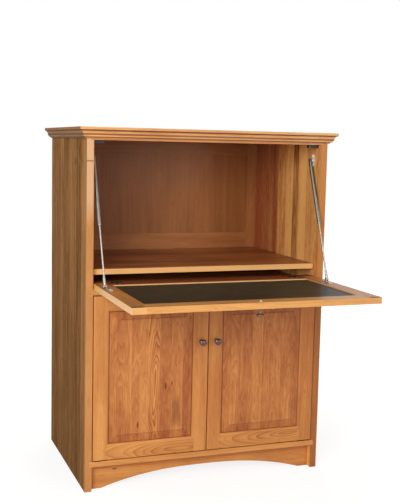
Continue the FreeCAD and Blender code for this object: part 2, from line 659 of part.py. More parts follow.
def knuckle(x0, x1, radius):
    return rod(radius, V(x0, HINGE_LINE.y, HINGE_LINE.z), V(x1, HINGE_LINE.y, HINGE_LINE.z))


def hinge_leaf(x, direction, x_spans):
    """A leaf let in flush with the top; direction is +1 for the fixed leaf and -1 for the flap's."""
    y = HINGE_LINE.y
    z1 = HINGE_LINE.z
    z0 = z1 - FLAP_HINGE_THICK
    clear = FLAP_KNUCKLE_RADIUS + FLAP_KNUCKLE_CLEAR
    half = FLAP_HINGE_WIDTH / 2
    near, far = y + direction * clear, y + direction * FLAP_HINGE_LEAF
    shapes = [box(x - half, x + half, min(near, far), max(near, far), z0, z1)]
    for x0, x1 in x_spans:
        shapes.append(box(x0, x1, min(y, near), max(y, near), z0, z1))
        shapes.append(knuckle(x0, x1, FLAP_KNUCKLE_RADIUS))
    return fused(shapes)


def hinge_pocket(x, direction):
    """The room cut in the wood for one leaf and for the knuckles."""
    y = HINGE_LINE.y
    half = FLAP_HINGE_WIDTH / 2
    far = y + direction * FLAP_HINGE_LEAF
    top = HINGE_LINE.z
    plate = box(x - half, x + half, min(y, far), max(y, far), top - FLAP_HINGE_THICK, top + 1)
    reach = half + FLAP_KNUCKLE_GAP
    barrel = knuckle(x - reach, x + reach, FLAP_KNUCKLE_RADIUS + FLAP_KNUCKLE_CLEAR)
    return fused([plate, barrel])


def flap_hinges():
    third = FLAP_HINGE_WIDTH / 6
    half = FLAP_HINGE_WIDTH / 2
    fixed = []
    moving = []
    for x in hinge_centres():
        middle = (x - third + FLAP_KNUCKLE_GAP, x + third - FLAP_KNUCKLE_GAP)
        outer = ((x - half, x - third), (x + third, x + half))
        bore = knuckle(x - half, x + half, FLAP_PIN_RADIUS + FLAP_PIN_FIT)
        fixed.append(hinge_leaf(x, 1, [middle]).cut(bore))
        pin = knuckle(x - half, x + half, FLAP_PIN_RADIUS)
        moving.append(fused([hinge_leaf(x, -1, outer), pin]))
    return Part.makeCompound(fixed), Part.makeCompound(moving)


def hinge_rail():
    y0 = HINGE_LINE.y + HINGE_RAIL_GAP
    body = box(-INNER_HALF, INNER_HALF, y0, y0 + HINGE_RAIL_DEPTH, DIVIDER_TOP, WRITING_HEIGHT)
    for x in hinge_centres():
        body = body.cut(hinge_pocket(x, 1))
    return body


def build_flap():
    """The drop-front flap: stiles, rails, raised panel, writing surface and its fittings."""
    z0, z1 = FLAP_LOW, FLAP_HIGH
    joint = FLAP_HALF - FRAME_FLAT
    inner = FLAP_HALF - FRAME_MEMBER
    left = stile(-FLAP_HALF, 1, z0, z1).cut(flap_strike())
    heel = rail(-joint, joint, z0, 1)
    knob_z = z1 - FLAP_KNOB_INSET
    free = rail(-joint, joint, z1, -1).cut(screw_hole(0, knob_z, FRAME_THICK))
    low, high = z0 + FRAME_MEMBER, z1 - FRAME_MEMBER
    panel = raised_panel(-inner, inner, low, high, FLAP_PANEL_BACK)
    sheet = box(-inner, inner, FLAP_PANEL_BACK, FLAP_PANEL_BACK + WRITING_SURFACE_THICK, low, high)
    open_heel = laid_open(heel)
    for x in hinge_centres():
        open_heel = open_heel.cut(hinge_pocket(x, -1))
    add("flap_stile_left", laid_open(left))
    add("flap_stile_right", laid_open(mirrored(left)))
    add("flap_rear_rail", open_heel)
    add("flap_front_rail", laid_open(free))
    add("flap_panel", laid_open(panel))
    add("writing_surface", laid_open(sheet))
    add("flap_knob", laid_open(knob(0, knob_z)))
    add("flap_knob_screw", laid_open(knob_screw(0, knob_z, FRAME_THICK)))
    add("flap_strikes", laid_open(both_sides(flap_strike())))
    fixed, moving = flap_hinges()
    add("flap_hinge_leaves", moving)
    add("rail_hinge_leaves", fixed)
    add("hinge_rail", hinge_rail())


# ------------------------------------------------------------------ the flap stays
def stay_direction():
    """Unit vector from the lower pin to the upper pin when the flap is open."""
    return (STAY_UPPER - STAY_LOWER).normalize()


def eye(centre, radius, width):
    return rod(radius, centre - V(width / 2, 0, 0), centre + V(width / 2, 0, 0))


def stay_rod():
    d = stay_direction()
    start = STAY_LOWER
    shank = rod(STAY_ROD_RADIUS, start, start + d * STAY_ROD_LENGTH)
    ferrule = rod(STAY_FERRULE_RADIUS, start, start + d * STAY_FERRULE_LENGTH)
    shoulder = start + d * STAY_FERRULE_LENGTH
    taper = Part.makeCone(STAY_FERRULE_RADIUS, STAY_ROD_RADIUS, STAY_FERRULE_RADIUS, shoulder, d)
    body = fused([shank, ferrule, taper, eye(start, STAY_EYE_RADIUS, STAY_EYE_WIDTH)])
    room = eye(start, STAY_EYE_RADIUS * 2, STAY_EYE_WIDTH * 3)
    side_waste = room.cut(eye(start, STAY_EYE_RADIUS * 3, STAY_EYE_WIDTH))
    hole = eye(start, STAY_PIN_RADIUS + STAY_PIN_FIT, STAY_EYE_WIDTH * 2)
    return body.cut(side_waste).cut(hole)


def stay_tube():
    d = stay_direction()
    end = STAY_UPPER
    mouth = end - d * STAY_TUBE_LENGTH
    shell = rod(STAY_TUBE_RADIUS, mouth + d * STAY_MOUTH_LENGTH, end)
    nose = Part.makeCone(STAY_MOUTH_RADIUS, STAY_TUBE_RADIUS, STAY_MOUTH_LENGTH, mouth, d)
    body = fused([shell, nose, eye(end, STAY_TUBE_RADIUS, STAY_EYE_WIDTH)])
    room = eye(end, STAY_TUBE_RADIUS * 1.6, STAY_EYE_WIDTH * 3)
    side_waste = room.cut(eye(end, STAY_TUBE_RADIUS * 3, STAY_EYE_WIDTH))
    bore = rod(STAY_ROD_RADIUS + STAY_SLIDE_FIT, mouth - d, end - d * STAY_BLIND_END)
    hole = eye(end, STAY_PIN_RADIUS + STAY_PIN_FIT, STAY_EYE_WIDTH * 2)
    return body.cut(side_waste).cut(bore).cut(hole)


def stay_foot():
    """The bracket on the flap: a screwed foot, a lug and the pin through the rod's eye."""
    top = WRITING_HEIGHT
    lug_x = -STAY_X + STAY_EYE_WIDTH / 2 + STAY_EYE_GAP
    y = STAY_LOWER.y
    z = STAY_LOWER.z
    foot_y = y + STAY_FOOT_HEEL
    t = STAY_PLATE_THICK
    foot = box(lug_x, lug_x + STAY_FOOT_WIDTH, foot_y - STAY_FOOT_LENGTH, foot_y, top, top + t)
    lug = box(lug_x, lug_x + t, y - STAY_LUG_HALF, y + STAY_LUG_HALF, top, z)
    lug_eye = rod(STAY_LUG_HALF, V(lug_x, y, z), V(lug_x + t, y, z))
    outer = -STAY_X - STAY_EYE_WIDTH / 2 - STAY_EYE_GAP
    pin = rod(STAY_PIN_RADIUS, V(lug_x + t / 2, y, z), V(outer - STAY_PIN_HEAD, y, z))
    head = rod(STAY_PIN_HEAD_RADIUS, V(outer, y, z), V(outer - STAY_PIN_HEAD, y, z))
    dome_y = foot_y - STAY_FOOT_LENGTH + STAY_DOME_INSET
    dome = screw_dome(V(lug_x + STAY_FOOT_WIDTH / 2, dome_y, top + t), V(0, 0, 1))
    return fused([foot, lug, lug_eye, pin, head, dome])


def stay_plate():
    """The bracket on the case side: a round-ended plate with a boss towards the tube's eye."""
    x = -INNER_HALF
    t = STAY_PLATE_THICK
    half = STAY_PLATE_WIDTH / 2
    y, z = STAY_UPPER.y, STAY_UPPER.z
    reach = STAY_PLATE_HEIGHT / 2 - half
    plate = box(x, x + t, y - half, y + half, z - reach, z + reach)
    ends = [rod(half, V(x, y, z + s * reach), V(x + t, y, z + s * reach)) for s in (-1, 1)]
    boss_end = -STAY_X - STAY_TUBE_RADIUS - STAY_EYE_GAP
    boss = rod(STAY_BOSS_RADIUS, V(x, y, z), V(boss_end, y, z))
    screws = [screw_dome(V(x + t, y, z + s * (reach + half / 3)), V(1, 0, 0)) for s in (-1, 1)]
    return fused([plate, boss] + ends + screws)


def screw_dome(base, direction):
    """A domed screw head standing on base."""
    r, h = STAY_DOME_RADIUS, STAY_DOME_HEIGHT
    sphere_radius = (r * r + h * h) / (2 * h)
    centre = base + direction * (h - sphere_radius)
    ball = Part.makeSphere(sphere_radius, centre)
    keep = rod(r, base, base + direction * (h + 1))
    return ball.common(keep)


def build_stays():
    shapes = {"stay_rod": stay_rod(), "stay_tube": stay_tube()}
    for name, shape in shapes.items():
        add(name + "_left", shape)
        add(name + "_right", mirrored(shape))
    add("stay_feet", both_sides(stay_foot()))
    add("stay_plates", both_sides(stay_plate()))


# ------------------------------------------------------------------ the doors
def pivot_plate(z0):
    """One leaf of a knife hinge at the left door's pivot, lying level from z0 upwards."""
    x = -DOOR_PIVOT_X
    y = DOOR_PIVOT_BACK
    r = PIVOT_PLATE_WIDTH / 2
    nose = rod(r, V(x, y, z0), V(x, y, z0 + PIVOT_PLATE_THICK))
    blade = box(x, x + PIVOT_PLATE_LENGTH - r, y - r, y + r, z0, z0 + PIVOT_PLATE_THICK)
    return fused([nose, blade])


def pivot_levels():
    """For the foot and the head of a door: case plate, door plate, and which way the pin points."""
    t = PIVOT_PLATE_THICK
    foot = (BOTTOM_BOARD_TOP - t, DOOR_LOW, BOTTOM_BOARD_TOP, 1)
    head = (DIVIDER_BOTTOM, DOOR_HIGH - t, DIVIDER_BOTTOM, -1)
    return (foot, head)


def case_pivots():
    """Fixed knife-hinge leaves of the left door, each with its pin and washer."""
    x, y = -DOOR_PIVOT_X, DOOR_PIVOT_BACK
    pivots = []
    for plate_z, _, face_z, way in pivot_levels():
        pin_end = face_z + way * (DOOR_GAP + PIVOT_PLATE_THICK)
        washer_end = face_z + way * (DOOR_GAP - PIVOT_WASHER_FIT)
        pin = rod(PIVOT_PIN_RADIUS, V(x, y, face_z - way), V(x, y, pin_end))
        washer = rod(PIVOT_WASHER_RADIUS, V(x, y, face_z), V(x, y, washer_end))
        pivots.append(fused([pivot_plate(plate_z), washer, pin]))
    return pivots


def door_fittings():
    """Knife-hinge leaves, strike and knob screw of the left door."""
    x, y = -DOOR_PIVOT_X, DOOR_PIVOT_BACK
    leaves = []
    for _, plate_z, _, _ in pivot_levels():
        below, above = V(x, y, plate_z - 1), V(x, y, plate_z + PIVOT_PLATE_THICK + 1)
        hole = rod(PIVOT_PIN_RADIUS + PIVOT_FIT, below, above)
        leaves.append(pivot_plate(plate_z).cut(hole))
    screw = knob_screw(-DOOR_INNER - DOOR_KNOB_INSET, DOOR_KNOB_HEIGHT, FRAME_THICK)
    return Part.makeCompound(leaves + [door_strike(), screw])


def build_doors():
    outer, inner = -DOOR_OUTER, -DOOR_INNER
    joints = outer + FRAME_FLAT, inner - FRAME_FLAT
    x0, x1 = outer + FRAME_MEMBER, inner - FRAME_MEMBER
    z0, z1 = DOOR_LOW, DOOR_HIGH
    knob_x = inner - DOOR_KNOB_INSET
    hinge_stile = stile(outer, 1, z0, z1)
    for _, plate_z, _, _ in pivot_levels():
        hinge_stile = hinge_stile.cut(pivot_plate(plate_z))
    meeting_stile = stile(inner, -1, z0, z1)
    meeting_stile = meeting_stile.cut(door_strike()).cut(screw_hole(knob_x, DOOR_KNOB_HEIGHT, FRAME_THICK))
    shapes = {
        "hinge_stile": hinge_stile,
        "meeting_stile": meeting_stile,
        "bottom_rail": rail(joints[0], joints[1], z0, 1).cut(pivot_plate(DOOR_LOW)),
        "top_rail": rail(joints[0], joints[1], z1, -1).cut(pivot_plate(DOOR_HIGH - PIVOT_PLATE_THICK)),
        "panel": raised_panel(x0, x1, z0 + FRAME_MEMBER, z1 - FRAME_MEMBER, DOOR_PANEL_BACK),
        "knob": knob(knob_x, DOOR_KNOB_HEIGHT),
        "fittings": door_fittings(),
    }
    for name, shape in shapes.items():
        add("door_left_" + name, shape)
        add("door_right_" + name, mirrored(shape))
    pivots = case_pivots()
    add("case_pivots", Part.makeCompound(pivots + [mirrored(p) for p in pivots]))


# ------------------------------------------------------------------ the case, put together
def build_case():
    left = side_panel()
    add("side_left", left)
    add("side_right", mirrored(left))
    add("top_board", housed_board(TOP_BOARD_BOTTOM, TOP_BOARD_TOP))
    add("lid_panel", box(-HALF_WIDTH, HALF_WIDTH, 0, CASE_DEPTH, TOP_BOARD_TOP, OVERALL_HEIGHT))
    divider = housed_board(DIVIDER_BOTTOM, DIVIDER_TOP).cut(cable_notch(DIVIDER_BOTTOM, DIVIDER_TOP))
    bottom = housed_board(BOTTOM_BOARD_BOTTOM, BOTTOM_BOARD_TOP)
    foot, head = (pivot_plate(level[0]) for level in pivot_levels())
    add("bottom_board", bottom.cut(foot).cut(mirrored(foot)))
    add("divider_board", divider.cut(head).cut(mirrored(head)))
    front, side = crown_pieces()
    add("crown_front", front)
    add("crown_left", side)
    add("crown_right", mirrored(side))
    add("apron", apron())
    add("corner_blocks", corner_blocks())
    back_frame()
    add("monitor_shelf", monitor_shelf())
    add("shelf_cleats", shelf_cleats())
    add("lower_shelf", lower_shelf())
    add("shelf_pins", shelf_pins())
    add("flap_catches", both_sides(flap_catch()))
    add("door_catch", door_catch())
    add("catch_plates", catch_plates())


build_case()
build_flap()
build_stays()
build_doors()

# ------------------------------------------------------------------ one STEP file for each piece
os.makedirs("parts", exist_ok=True)
for piece_name, piece_shape in pieces.items():
    placed = piece_shape.copy()
    placed.translate(CASE_SHIFT)
    if not placed.isValid():
        print("not valid:", piece_name)
    placed.exportStep("parts/" + piece_name + ".step")
print(len(pieces), "pieces")
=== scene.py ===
import math
import random

import bmesh
import bpy
from mathutils import Matrix, Vector


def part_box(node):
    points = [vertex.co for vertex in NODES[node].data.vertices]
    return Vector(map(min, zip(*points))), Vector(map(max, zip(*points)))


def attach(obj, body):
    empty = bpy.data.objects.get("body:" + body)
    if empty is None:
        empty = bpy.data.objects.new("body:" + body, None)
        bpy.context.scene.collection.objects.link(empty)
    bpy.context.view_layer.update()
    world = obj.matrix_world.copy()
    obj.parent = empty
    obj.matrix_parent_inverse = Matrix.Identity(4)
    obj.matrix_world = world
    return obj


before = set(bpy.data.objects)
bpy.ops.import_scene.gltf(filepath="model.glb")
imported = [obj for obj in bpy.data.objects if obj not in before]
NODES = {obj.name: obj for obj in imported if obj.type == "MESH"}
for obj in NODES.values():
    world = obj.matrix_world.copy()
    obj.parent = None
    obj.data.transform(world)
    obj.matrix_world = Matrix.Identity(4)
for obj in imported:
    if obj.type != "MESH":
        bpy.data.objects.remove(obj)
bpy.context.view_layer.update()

# The computer armoire's look. Every piece of wood has a node tree of its own, worked out from the boards
# that it is glued up from. Metres throughout, +X to the right, +Y to the back, +Z up, as in the frame.

SCENE = bpy.context.scene
X, Y, Z = 0, 1, 2
SIDES = (("left", -1), ("right", 1))


def linear(r, g, b):
    """An sRGB colour, 0 to 255, as linear values."""
    values = [c / 255 for c in (r, g, b)]
    return tuple(c / 12.92 if c <= 0.04045 else ((c + 0.055) / 1.055) ** 2.4 for c in values)


# ---------------------------------------------------------------- node trees
class Tree:
    """The node tree of a material or of the world, written as expressions."""

    def __init__(self, owner, output="ShaderNodeOutputMaterial"):
        owner.use_nodes = True
        self.owner = owner
        self.tree = owner.node_tree
        self.tree.nodes.clear()
        self.output = self.tree.nodes.new(output)

    def node(self, kind, **settings):
        node = self.tree.nodes.new(kind)
        for key, value in settings.items():
            setattr(node, key, value)
        return node

    def put(self, socket, value):
        """Links a socket into another one, or sets it to a constant."""
        if isinstance(value, bpy.types.NodeSocket):
            self.tree.links.new(value, socket)
        elif value is not None:
            socket.default_value = value

    def put_color(self, socket, value):
        self.put(socket, value if isinstance(value, bpy.types.NodeSocket) else (*value, 1.0))

    def math(self, operation, a, b=None, clamp=False):
        node = self.node("ShaderNodeMath", operation=operation, use_clamp=clamp)
        self.put(node.inputs[0], a)
        self.put(node.inputs[1], b)
        return node.outputs[0]

    def plus(self, a, b, clamp=False):
        return self.math("ADD", a, b, clamp)

    def minus(self, a, b):
        return self.math("SUBTRACT", a, b)

    def times(self, a, b, clamp=False):
        return self.math("MULTIPLY", a, b, clamp)

    def length(self, a, b):
        return self.math("SQRT", self.plus(self.times(a, a), self.times(b, b)))

    def span(self, value, low, high, to_low=0.0, to_high=1.0):
        """Maps low to high onto to_low to to_high, and holds the ends."""
        node = self.node("ShaderNodeMapRange", clamp=True)
        for socket, v in zip(node.inputs, (value, low, high, to_low, to_high)):
            self.put(socket, v)
        return node.outputs[0]

    def swing(self, noise, amount, spread=0.3):
        """Noise as a change of up to the amount either way."""
        return self.span(noise, 0.5 - spread, 0.5 + spread, -amount, amount)

    def combine(self, x, y, z):
        node = self.node("ShaderNodeCombineXYZ")
        for socket, value in zip(node.inputs, (x, y, z)):
            self.put(socket, value)
        return node.outputs[0]

    def noise(self, vector, scale=1.0, detail=2.0, rough=0.5):
        node = self.node("ShaderNodeTexNoise")
        self.put(node.inputs["Vector"], vector)
        node.inputs["Scale"].default_value = scale
        node.inputs["Detail"].default_value = detail
        node.inputs["Roughness"].default_value = rough
        return node.outputs[0]

    def grain_noise(self, scales, **settings):
        """Noise with its own scale along each of the piece's axes."""
        scaled = [self.times(axis, scale) for axis, scale in zip(self.object_axes(), scales)]
        return self.noise(self.combine(*scaled), **settings)

    def mix(self, factor, a, b, blend="MIX"):
        node = self.node("ShaderNodeMix", data_type="RGBA", blend_type=blend)
        self.put(node.inputs[0], factor)
        self.put_color(node.inputs[6], a)
        self.put_color(node.inputs[7], b)
        return node.outputs[2]

    def object_axes(self, output="Object"):
        where = self.node("ShaderNodeTexCoord")
        split = self.node("ShaderNodeSeparateXYZ")
        self.put(split.inputs[0], where.outputs[output])
        return list(split.outputs)

    def seen(self):
        """1 for the rays that see the plain background: from the camera, off a gloss and through glass."""
        path = self.node("ShaderNodeLightPath")
        most = self.math("MAXIMUM", path.outputs["Is Camera Ray"], path.outputs["Is Transmission Ray"])
        return self.math("MAXIMUM", most, path.outputs["Is Glossy Ray"])

    def glow(self, kind, color, strength):
        """An emission or background shader."""
        node = self.node(kind)
        self.put_color(node.inputs[0], color)
        self.put(node.inputs[1], strength)
        return node.outputs[0]

    def diffuse(self, level):
        node = self.node("ShaderNodeBsdfDiffuse")
        self.put_color(node.inputs[0], (level, level, level))
        return node.outputs[0]

    def choose(self, factor, first, second):
        node = self.node("ShaderNodeMixShader")
        for socket, value in zip(node.inputs, (factor, first, second)):
            self.put(socket, value)
        return node.outputs[0]

    def bump(self, height, strength, distance):
        node = self.node("ShaderNodeBump")
        node.inputs["Strength"].default_value = strength
        node.inputs["Distance"].default_value = distance
        self.put(node.inputs["Height"], height)
        return node.outputs[0]

    def shader(self, color, roughness, normal, **constants):
        """Ends a material with a principled shader and returns the material."""
        node = self.node("ShaderNodeBsdfPrincipled")
        self.put_color(node.inputs["Base Color"], color)
        self.put(node.inputs["Roughness"], roughness)
        self.put(node.inputs["Normal"], normal)
        for key, value in constants.items():
            node.inputs[key.replace("_", " ")].default_value = value
        self.put(self.output.inputs[0], node.outputs[0])
        return self.owner


def material(name):
    return Tree(bpy.data.materials.new(name))


# ---------------------------------------------------------------- wood
PALE, DEEP = linear(228, 163, 92), linear(168, 94, 42)              # the frames and the case
FIELD_PALE, FIELD_DEEP = linear(217, 149, 84), linear(150, 73, 34)  # raised panels
SHADED_RED_PALE, SHADED_RED_DEEP = linear(178, 98, 58), linear(110, 52, 30)       # painted shade: the darker, redder colours of boards in shade under the shelf
# The pale of the painted light along the monitor shelf's front edge.
LIT_EDGE_PALE = linear(240, 198, 132)
KNOT = linear(96, 24, 14)
CREASE_SHADE = linear(104, 40, 22)         # painted shade: the dark line where two mouldings meet

# What the colour is multiplied by at each of these.
RING = (0.60, 0.42, 0.27)            # the dark line at the end of a year's growth
PORE = (0.60, 0.46, 0.34)
FLECK = (0.50, 0.34, 0.24)
END_GRAIN = (0.62, 0.50, 0.42)
SLOPE_SHADE = (0.76, 0.58, 0.46)           # painted shade on the slopes round the field of a raised panel

# Noise in the wood: its scale along the grain and across it, its detail and its roughness.
DRIFT = (1.3, 0.0, 1.0)              # how the pith wanders along the board
WAVE = (5.0, 22.0)                   # how the rings waver
CLOUDS = (4.0, 13.0, 3.0)            # from here on, changes of tone
MOTTLES = (30.0, 75.0, 2.0, 0.6)
STREAKS = (1.5, 60.0, 3.0, 0.6)
BANDS = (1.6, 30.0, 2.0)
FIBRES = (13.0, 420.0, 3.0, 0.6)
FLECKS = (26.0, 210.0, 1.0)
PATCH_WAVE = (6.0, 30.0)             # how the edges of a large patch waver
PATCH_STREAKS = (9.0, 85.0, 3.0, 0.6)
BOARD_SHIFT, RING_SHIFT = 61.0, 37.0     # how far a board's seed moves its noise and its rings

SOFT_PATCH, WIDE_PATCH = 0.02, 0.03  # a patch this soft and this wide is wavy and broken up
HARD_EDGE, WAVY_EDGE = 0.0015, 0.006
FAR_SKIN = (0.0025, 0.0015)          # the colours of a board's far face fade out between these depths

# The painted shade round a raised panel, on its slopes, along the frame and along the edge of its field,
# measured from its frame's opening.
CREVICE_SHADE = (0.0016, 0.0036)           # the painted shade along the frame fades out between these
SLOPE_END = (0.0285, 0.0300)
FOLD, FOLD_SHADE_FADE = 0.0296, (0.0008, 0.0024)
MITRE_FADE = (0.0002, 0.0008)        # how sharply the end slopes turn into the side slopes


class Cherry(Tree):
    """Solid cherry: a tree that knows how its piece lies in the boards that it is glued up from."""

    def __init__(self, node, grain, across, boards):
        super().__init__(bpy.data.materials.new("cherry_" + node))
        low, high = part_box(node)
        depth = 3 - grain - across
        axes = self.object_axes()
        self.along, self.across = axes[grain], axes[across]
        self.inward = self.minus(axes[depth], (low[depth] + high[depth]) / 2)
        self.half_thickness = (high[depth] - low[depth]) / 2
        self.from_middle = self.minus(self.along, (low[grain] + high[grain]) / 2)
        self.first, self.last = boards[0][0] - 0.01, boards[-1][0] + 0.4
        self.read_boards(boards)

    def read_boards(self, boards):
        """A colour ramp with a constant stop for each board hands out its tone, seed, centre and figure."""
        width = self.last - self.first
        ramp = self.node("ShaderNodeValToRGB")
        ramp.color_ramp.interpolation = "CONSTANT"
        self.put(ramp.inputs[0], self.span(self.across, self.first, self.last))
        elements = ramp.color_ramp.elements
        elements.remove(elements[1])
        for number, (edge, tone, centre, seed, *strong) in enumerate(boards):
            place = (edge - self.first) / width
            element = elements[0] if number == 0 else elements.new(place)
            element.position = 0.0 if number == 0 else place
            element.color = (tone, seed, (centre - self.first) / width, (strong or [1.0])[0] / 4)
        board = self.node("ShaderNodeSeparateColor")
        self.put(board.inputs[0], ramp.outputs[0])
        self.tone, self.seed, self.centre = board.outputs[0], board.outputs[1], board.outputs[2]
        self.vivid = self.times(ramp.outputs["Alpha"], 4.0)

    def field(self, along_scale, across_scale, detail=2.0, rough=0.5):
        """Noise drawn out along the grain, different in each board."""
        along = self.plus(self.times(self.along, along_scale), self.times(self.seed, BOARD_SHIFT))
        side = self.times(self.across, across_scale)
        inward = self.times(self.inward, across_scale)
        return self.noise(self.combine(along, side, inward), detail=detail, rough=rough)

    def wobble(self, burl):
        return self.swing(self.field(*WAVE), burl)

    def pith_distance(self, wobble, taper, pith):
        """How far a point is from the pith of the tree that its board was sawn from."""
        drift = self.swing(self.field(*DRIFT), 0.022)
        centre = self.span(self.centre, 0.0, 1.0, self.first, self.last)
        offset = self.plus(self.minus(self.across, centre), drift)
        below = self.plus(self.times(self.from_middle, taper), self.span(self.seed, 0.0, 1.0, *pith))
        return self.plus(self.length(offset, self.plus(below, self.inward)), wobble)

    def knot(self, place, radius, wobble, burl):
        """The rings' radius as they part round a knot, and the knot's dark heart."""
        k_along, k_across, size = place
        dx = self.math("DIVIDE", self.minus(self.across, k_across), size)
        dz = self.math("DIVIDE", self.minus(self.along, k_along), size * 3.0)
        near = self.plus(self.length(dx, dz), self.span(wobble, -burl, burl, -0.3, 0.3))
        swell = self.span(near, 0.0, 5.0, 1.0, 0.0)
        radius = self.plus(radius, self.times(self.times(swell, swell), size * 1.5))
        return radius, self.span(near, 0.5, 1.3, 1.0, 0.0)

    def rings(self, radius, year):
        """The dark line at the end of each year's growth, and slower changes from year to year."""
        years = self.plus(self.math("DIVIDE", radius, year), self.times(self.seed, RING_SHIFT))
        uneven = self.noise(self.combine(self.times(years, 0.31), 0.0, 0.0), detail=1.0)
        years = self.plus(years, self.times(uneven, 2.6))
        phase = self.math("FRACT", years)
        line = self.times(self.math("POWER", phase, 2.4), self.span(phase, 0.92, 1.0, 1.0, 0.0))
        strength = self.noise(self.combine(self.math("FLOOR", years), 7.7, 0.0), scale=1.7, detail=0.0)
        line = self.times(line, self.span(strength, 0.3, 0.7, 0.35, 1.0))
        heartwood = self.noise(self.combine(self.times(years, 0.28), 3.3, 0.0), detail=2.0)
        heartwood = self.swing(heartwood, 0.12, 0.22)
        return self.times(line, self.vivid), self.times(heartwood, self.vivid)

    def shade(self, heartwood, mottle, coarse):
        """How far each point is from the pale to the deep colour."""
        shade = self.plus(self.tone, self.swing(self.field(*CLOUDS), 0.20, 0.25))
        shade = self.plus(shade, heartwood)
        shade = self.plus(shade, self.swing(self.field(*MOTTLES), mottle, 0.2))
        shade = self.plus(shade, self.swing(self.field(*STREAKS), 0.13, 0.25))
        return self.plus(shade, self.swing(self.field(*BANDS), coarse, 0.2), clamp=True)

    def darken(self, color, amount, tint):
        return self.mix(amount, color, tint, "MULTIPLY")

    def patch(self, color, place, shown):
        """Lays a patch of another colour over part of the piece; a large soft one is streaky. Patches carry
        the wood's own marks, painted light and painted shade.
        """
        along_from, along_to, across_from, across_to, soft, tint, amount = place
        loose = soft >= SOFT_PATCH and across_to - across_from > WIDE_PATCH
        if loose:
            across = self.plus(self.across, self.swing(self.field(*PATCH_WAVE), 0.008))
            edge = WAVY_EDGE
        else:
            across = self.across
            edge = min(HARD_EDGE, (across_to - across_from) * 0.2)
        inside = self.times(self.span(across, across_from, across_from + edge),
                            self.span(across, across_to - edge, across_to, 1.0, 0.0))
        inside = self.times(inside, self.span(self.along, along_from, along_from + soft))
        inside = self.times(inside, self.span(self.along, along_to - soft, along_to, 1.0, 0.0))
        inside = self.times(inside, shown)
        if loose:
            inside = self.times(inside, self.span(self.field(*PATCH_STREAKS), 0.32, 0.62, 0.25, 1.15))
        return self.mix(self.times(inside, amount), color, tint)

    def shade_raised_edge(self, color, rim):
        """Paints shade on the slopes round a raised panel, darker on its end slopes, and paints dark lines
        of shade in the creases at its two edges.
        """
        along_from, along_to, across_from, across_to = rim
        sides = (self.minus(self.along, along_from), self.minus(along_to, self.along),
                 self.minus(self.across, across_from), self.minus(across_to, self.across))
        edge = sides[0]
        for side in sides[1:]:
            edge = self.math("MINIMUM", edge, side)
        ends = self.minus(self.math("MINIMUM", sides[0], sides[1]), edge)       # zero on the end slopes
        slope_shade = self.span(edge, *SLOPE_END, 1.0, 0.0)
        slope_shade = self.times(slope_shade, self.span(ends, *MITRE_FADE, 0.55, 0.12))
        color = self.darken(color, slope_shade, SLOPE_SHADE)
        fold_shade = self.span(self.math("ABSOLUTE", self.minus(edge, FOLD)), *FOLD_SHADE_FADE, 1.0, 0.0)
        fold_shade = self.times(fold_shade, self.span(ends, 0.0, MITRE_FADE[1], 0.34, 0.10))
        crease_shade = self.math("MAXIMUM", self.span(edge, *CREVICE_SHADE, 0.75, 0.0), fold_shade)
        return self.mix(crease_shade, color, CREASE_SHADE)


def wood(node, grain, across, boards, pale=PALE, deep=DEEP, figure=0.45, knots=(), patches=(), rim=None,
         gloss=0.38, taper=0.030, burl=0.0045, pith=(0.010, 0.040), coarse=0.0, year=0.0044, mottle=0.04,
         veil=0.26, far=None):
    """Solid cherry. boards lists (edge, tone, centre, seed, figure) along the across axis, in metres: where
    each glued board starts, how dark it is, where its figure is centred, its own seed, and if given how
    strong its figure is. knots are (along, across, radius); patches are (along from, to, across from, to,
    soft edge, colour, amount), and carry the wood's own marks as well as painted light and painted shade.
    rim is the opening round a raised panel, (along from, to, across from, to), round which painted shade
    is laid. year is the ring spacing, burl the waviness of the rings, taper how fast they run out along the
    board, pith how deep the tree's middle lies below it, coarse and mottle the changes of tone, veil the
    strength of the lacquer's reflection. far is (side, pale, deep): the face on that side of the piece has
    its own calmer colours and no patches, so that the painted light and painted shade stay off it."""
    t = Cherry(node, grain, across, boards)
    wobble = t.wobble(burl)
    radius = t.pith_distance(wobble, taper, pith)
    hearts = []
    for place in knots:
        radius, heart = t.knot(place, radius, wobble, burl)
        hearts.append(heart)
    line, heartwood = t.rings(radius, year)
    shade = t.shade(heartwood, mottle, coarse)
    color = t.mix(shade, pale, deep)
    shown = 1.0
    # The far face keeps plain colours; the piece's own palette, with any painted light or painted shade in
    # it, stays on its other faces.
    if far:
        side, far_pale, far_deep = far
        below, above = (t.half_thickness - skin for skin in FAR_SKIN)
        shown = t.span(t.times(t.inward, side), below, above, 1.0, 0.0)
        color = t.mix(shown, t.mix(t.span(shade, 0.0, 1.0, 0.22, 0.70), far_pale, far_deep), color)
    fibre = t.field(*FIBRES)
    color = t.darken(color, t.times(line, figure, clamp=True), RING)
    color = t.darken(color, t.span(fibre, 0.50, 0.74, 0.0, 0.30), PORE)
    color = t.darken(color, t.span(t.field(*FLECKS), 0.70, 0.78, 0.0, 0.5), FLECK)
    for place in patches:
        color = t.patch(color, place, shown)
    if rim:
        color = t.shade_raised_edge(color, rim)
    if hearts:
        dark = hearts[0]
        for heart in hearts[1:]:
            dark = t.math("MAXIMUM", dark, heart)
        color = t.mix(t.times(dark, 0.8), color, KNOT)
    end = t.span(t.math("ABSOLUTE", t.object_axes("Normal")[grain]), 0.75, 0.95)
    color = t.darken(color, t.times(end, 0.28), END_GRAIN)

    height = t.plus(t.times(fibre, 0.7), t.times(line, 0.3))
    rough = t.plus(t.span(fibre, 0.3, 0.8, gloss - 0.04, gloss + 0.10), t.times(end, 0.15))
    return t.shader(color, rough, t.bump(height, 0.20, 0.0004),
                    Specular_IOR_Level=veil, Coat_Weight=veil / 4, Coat_Roughness=0.18)


LEAST_BOARD = 0.012                  # no board at the end of a panel is narrower


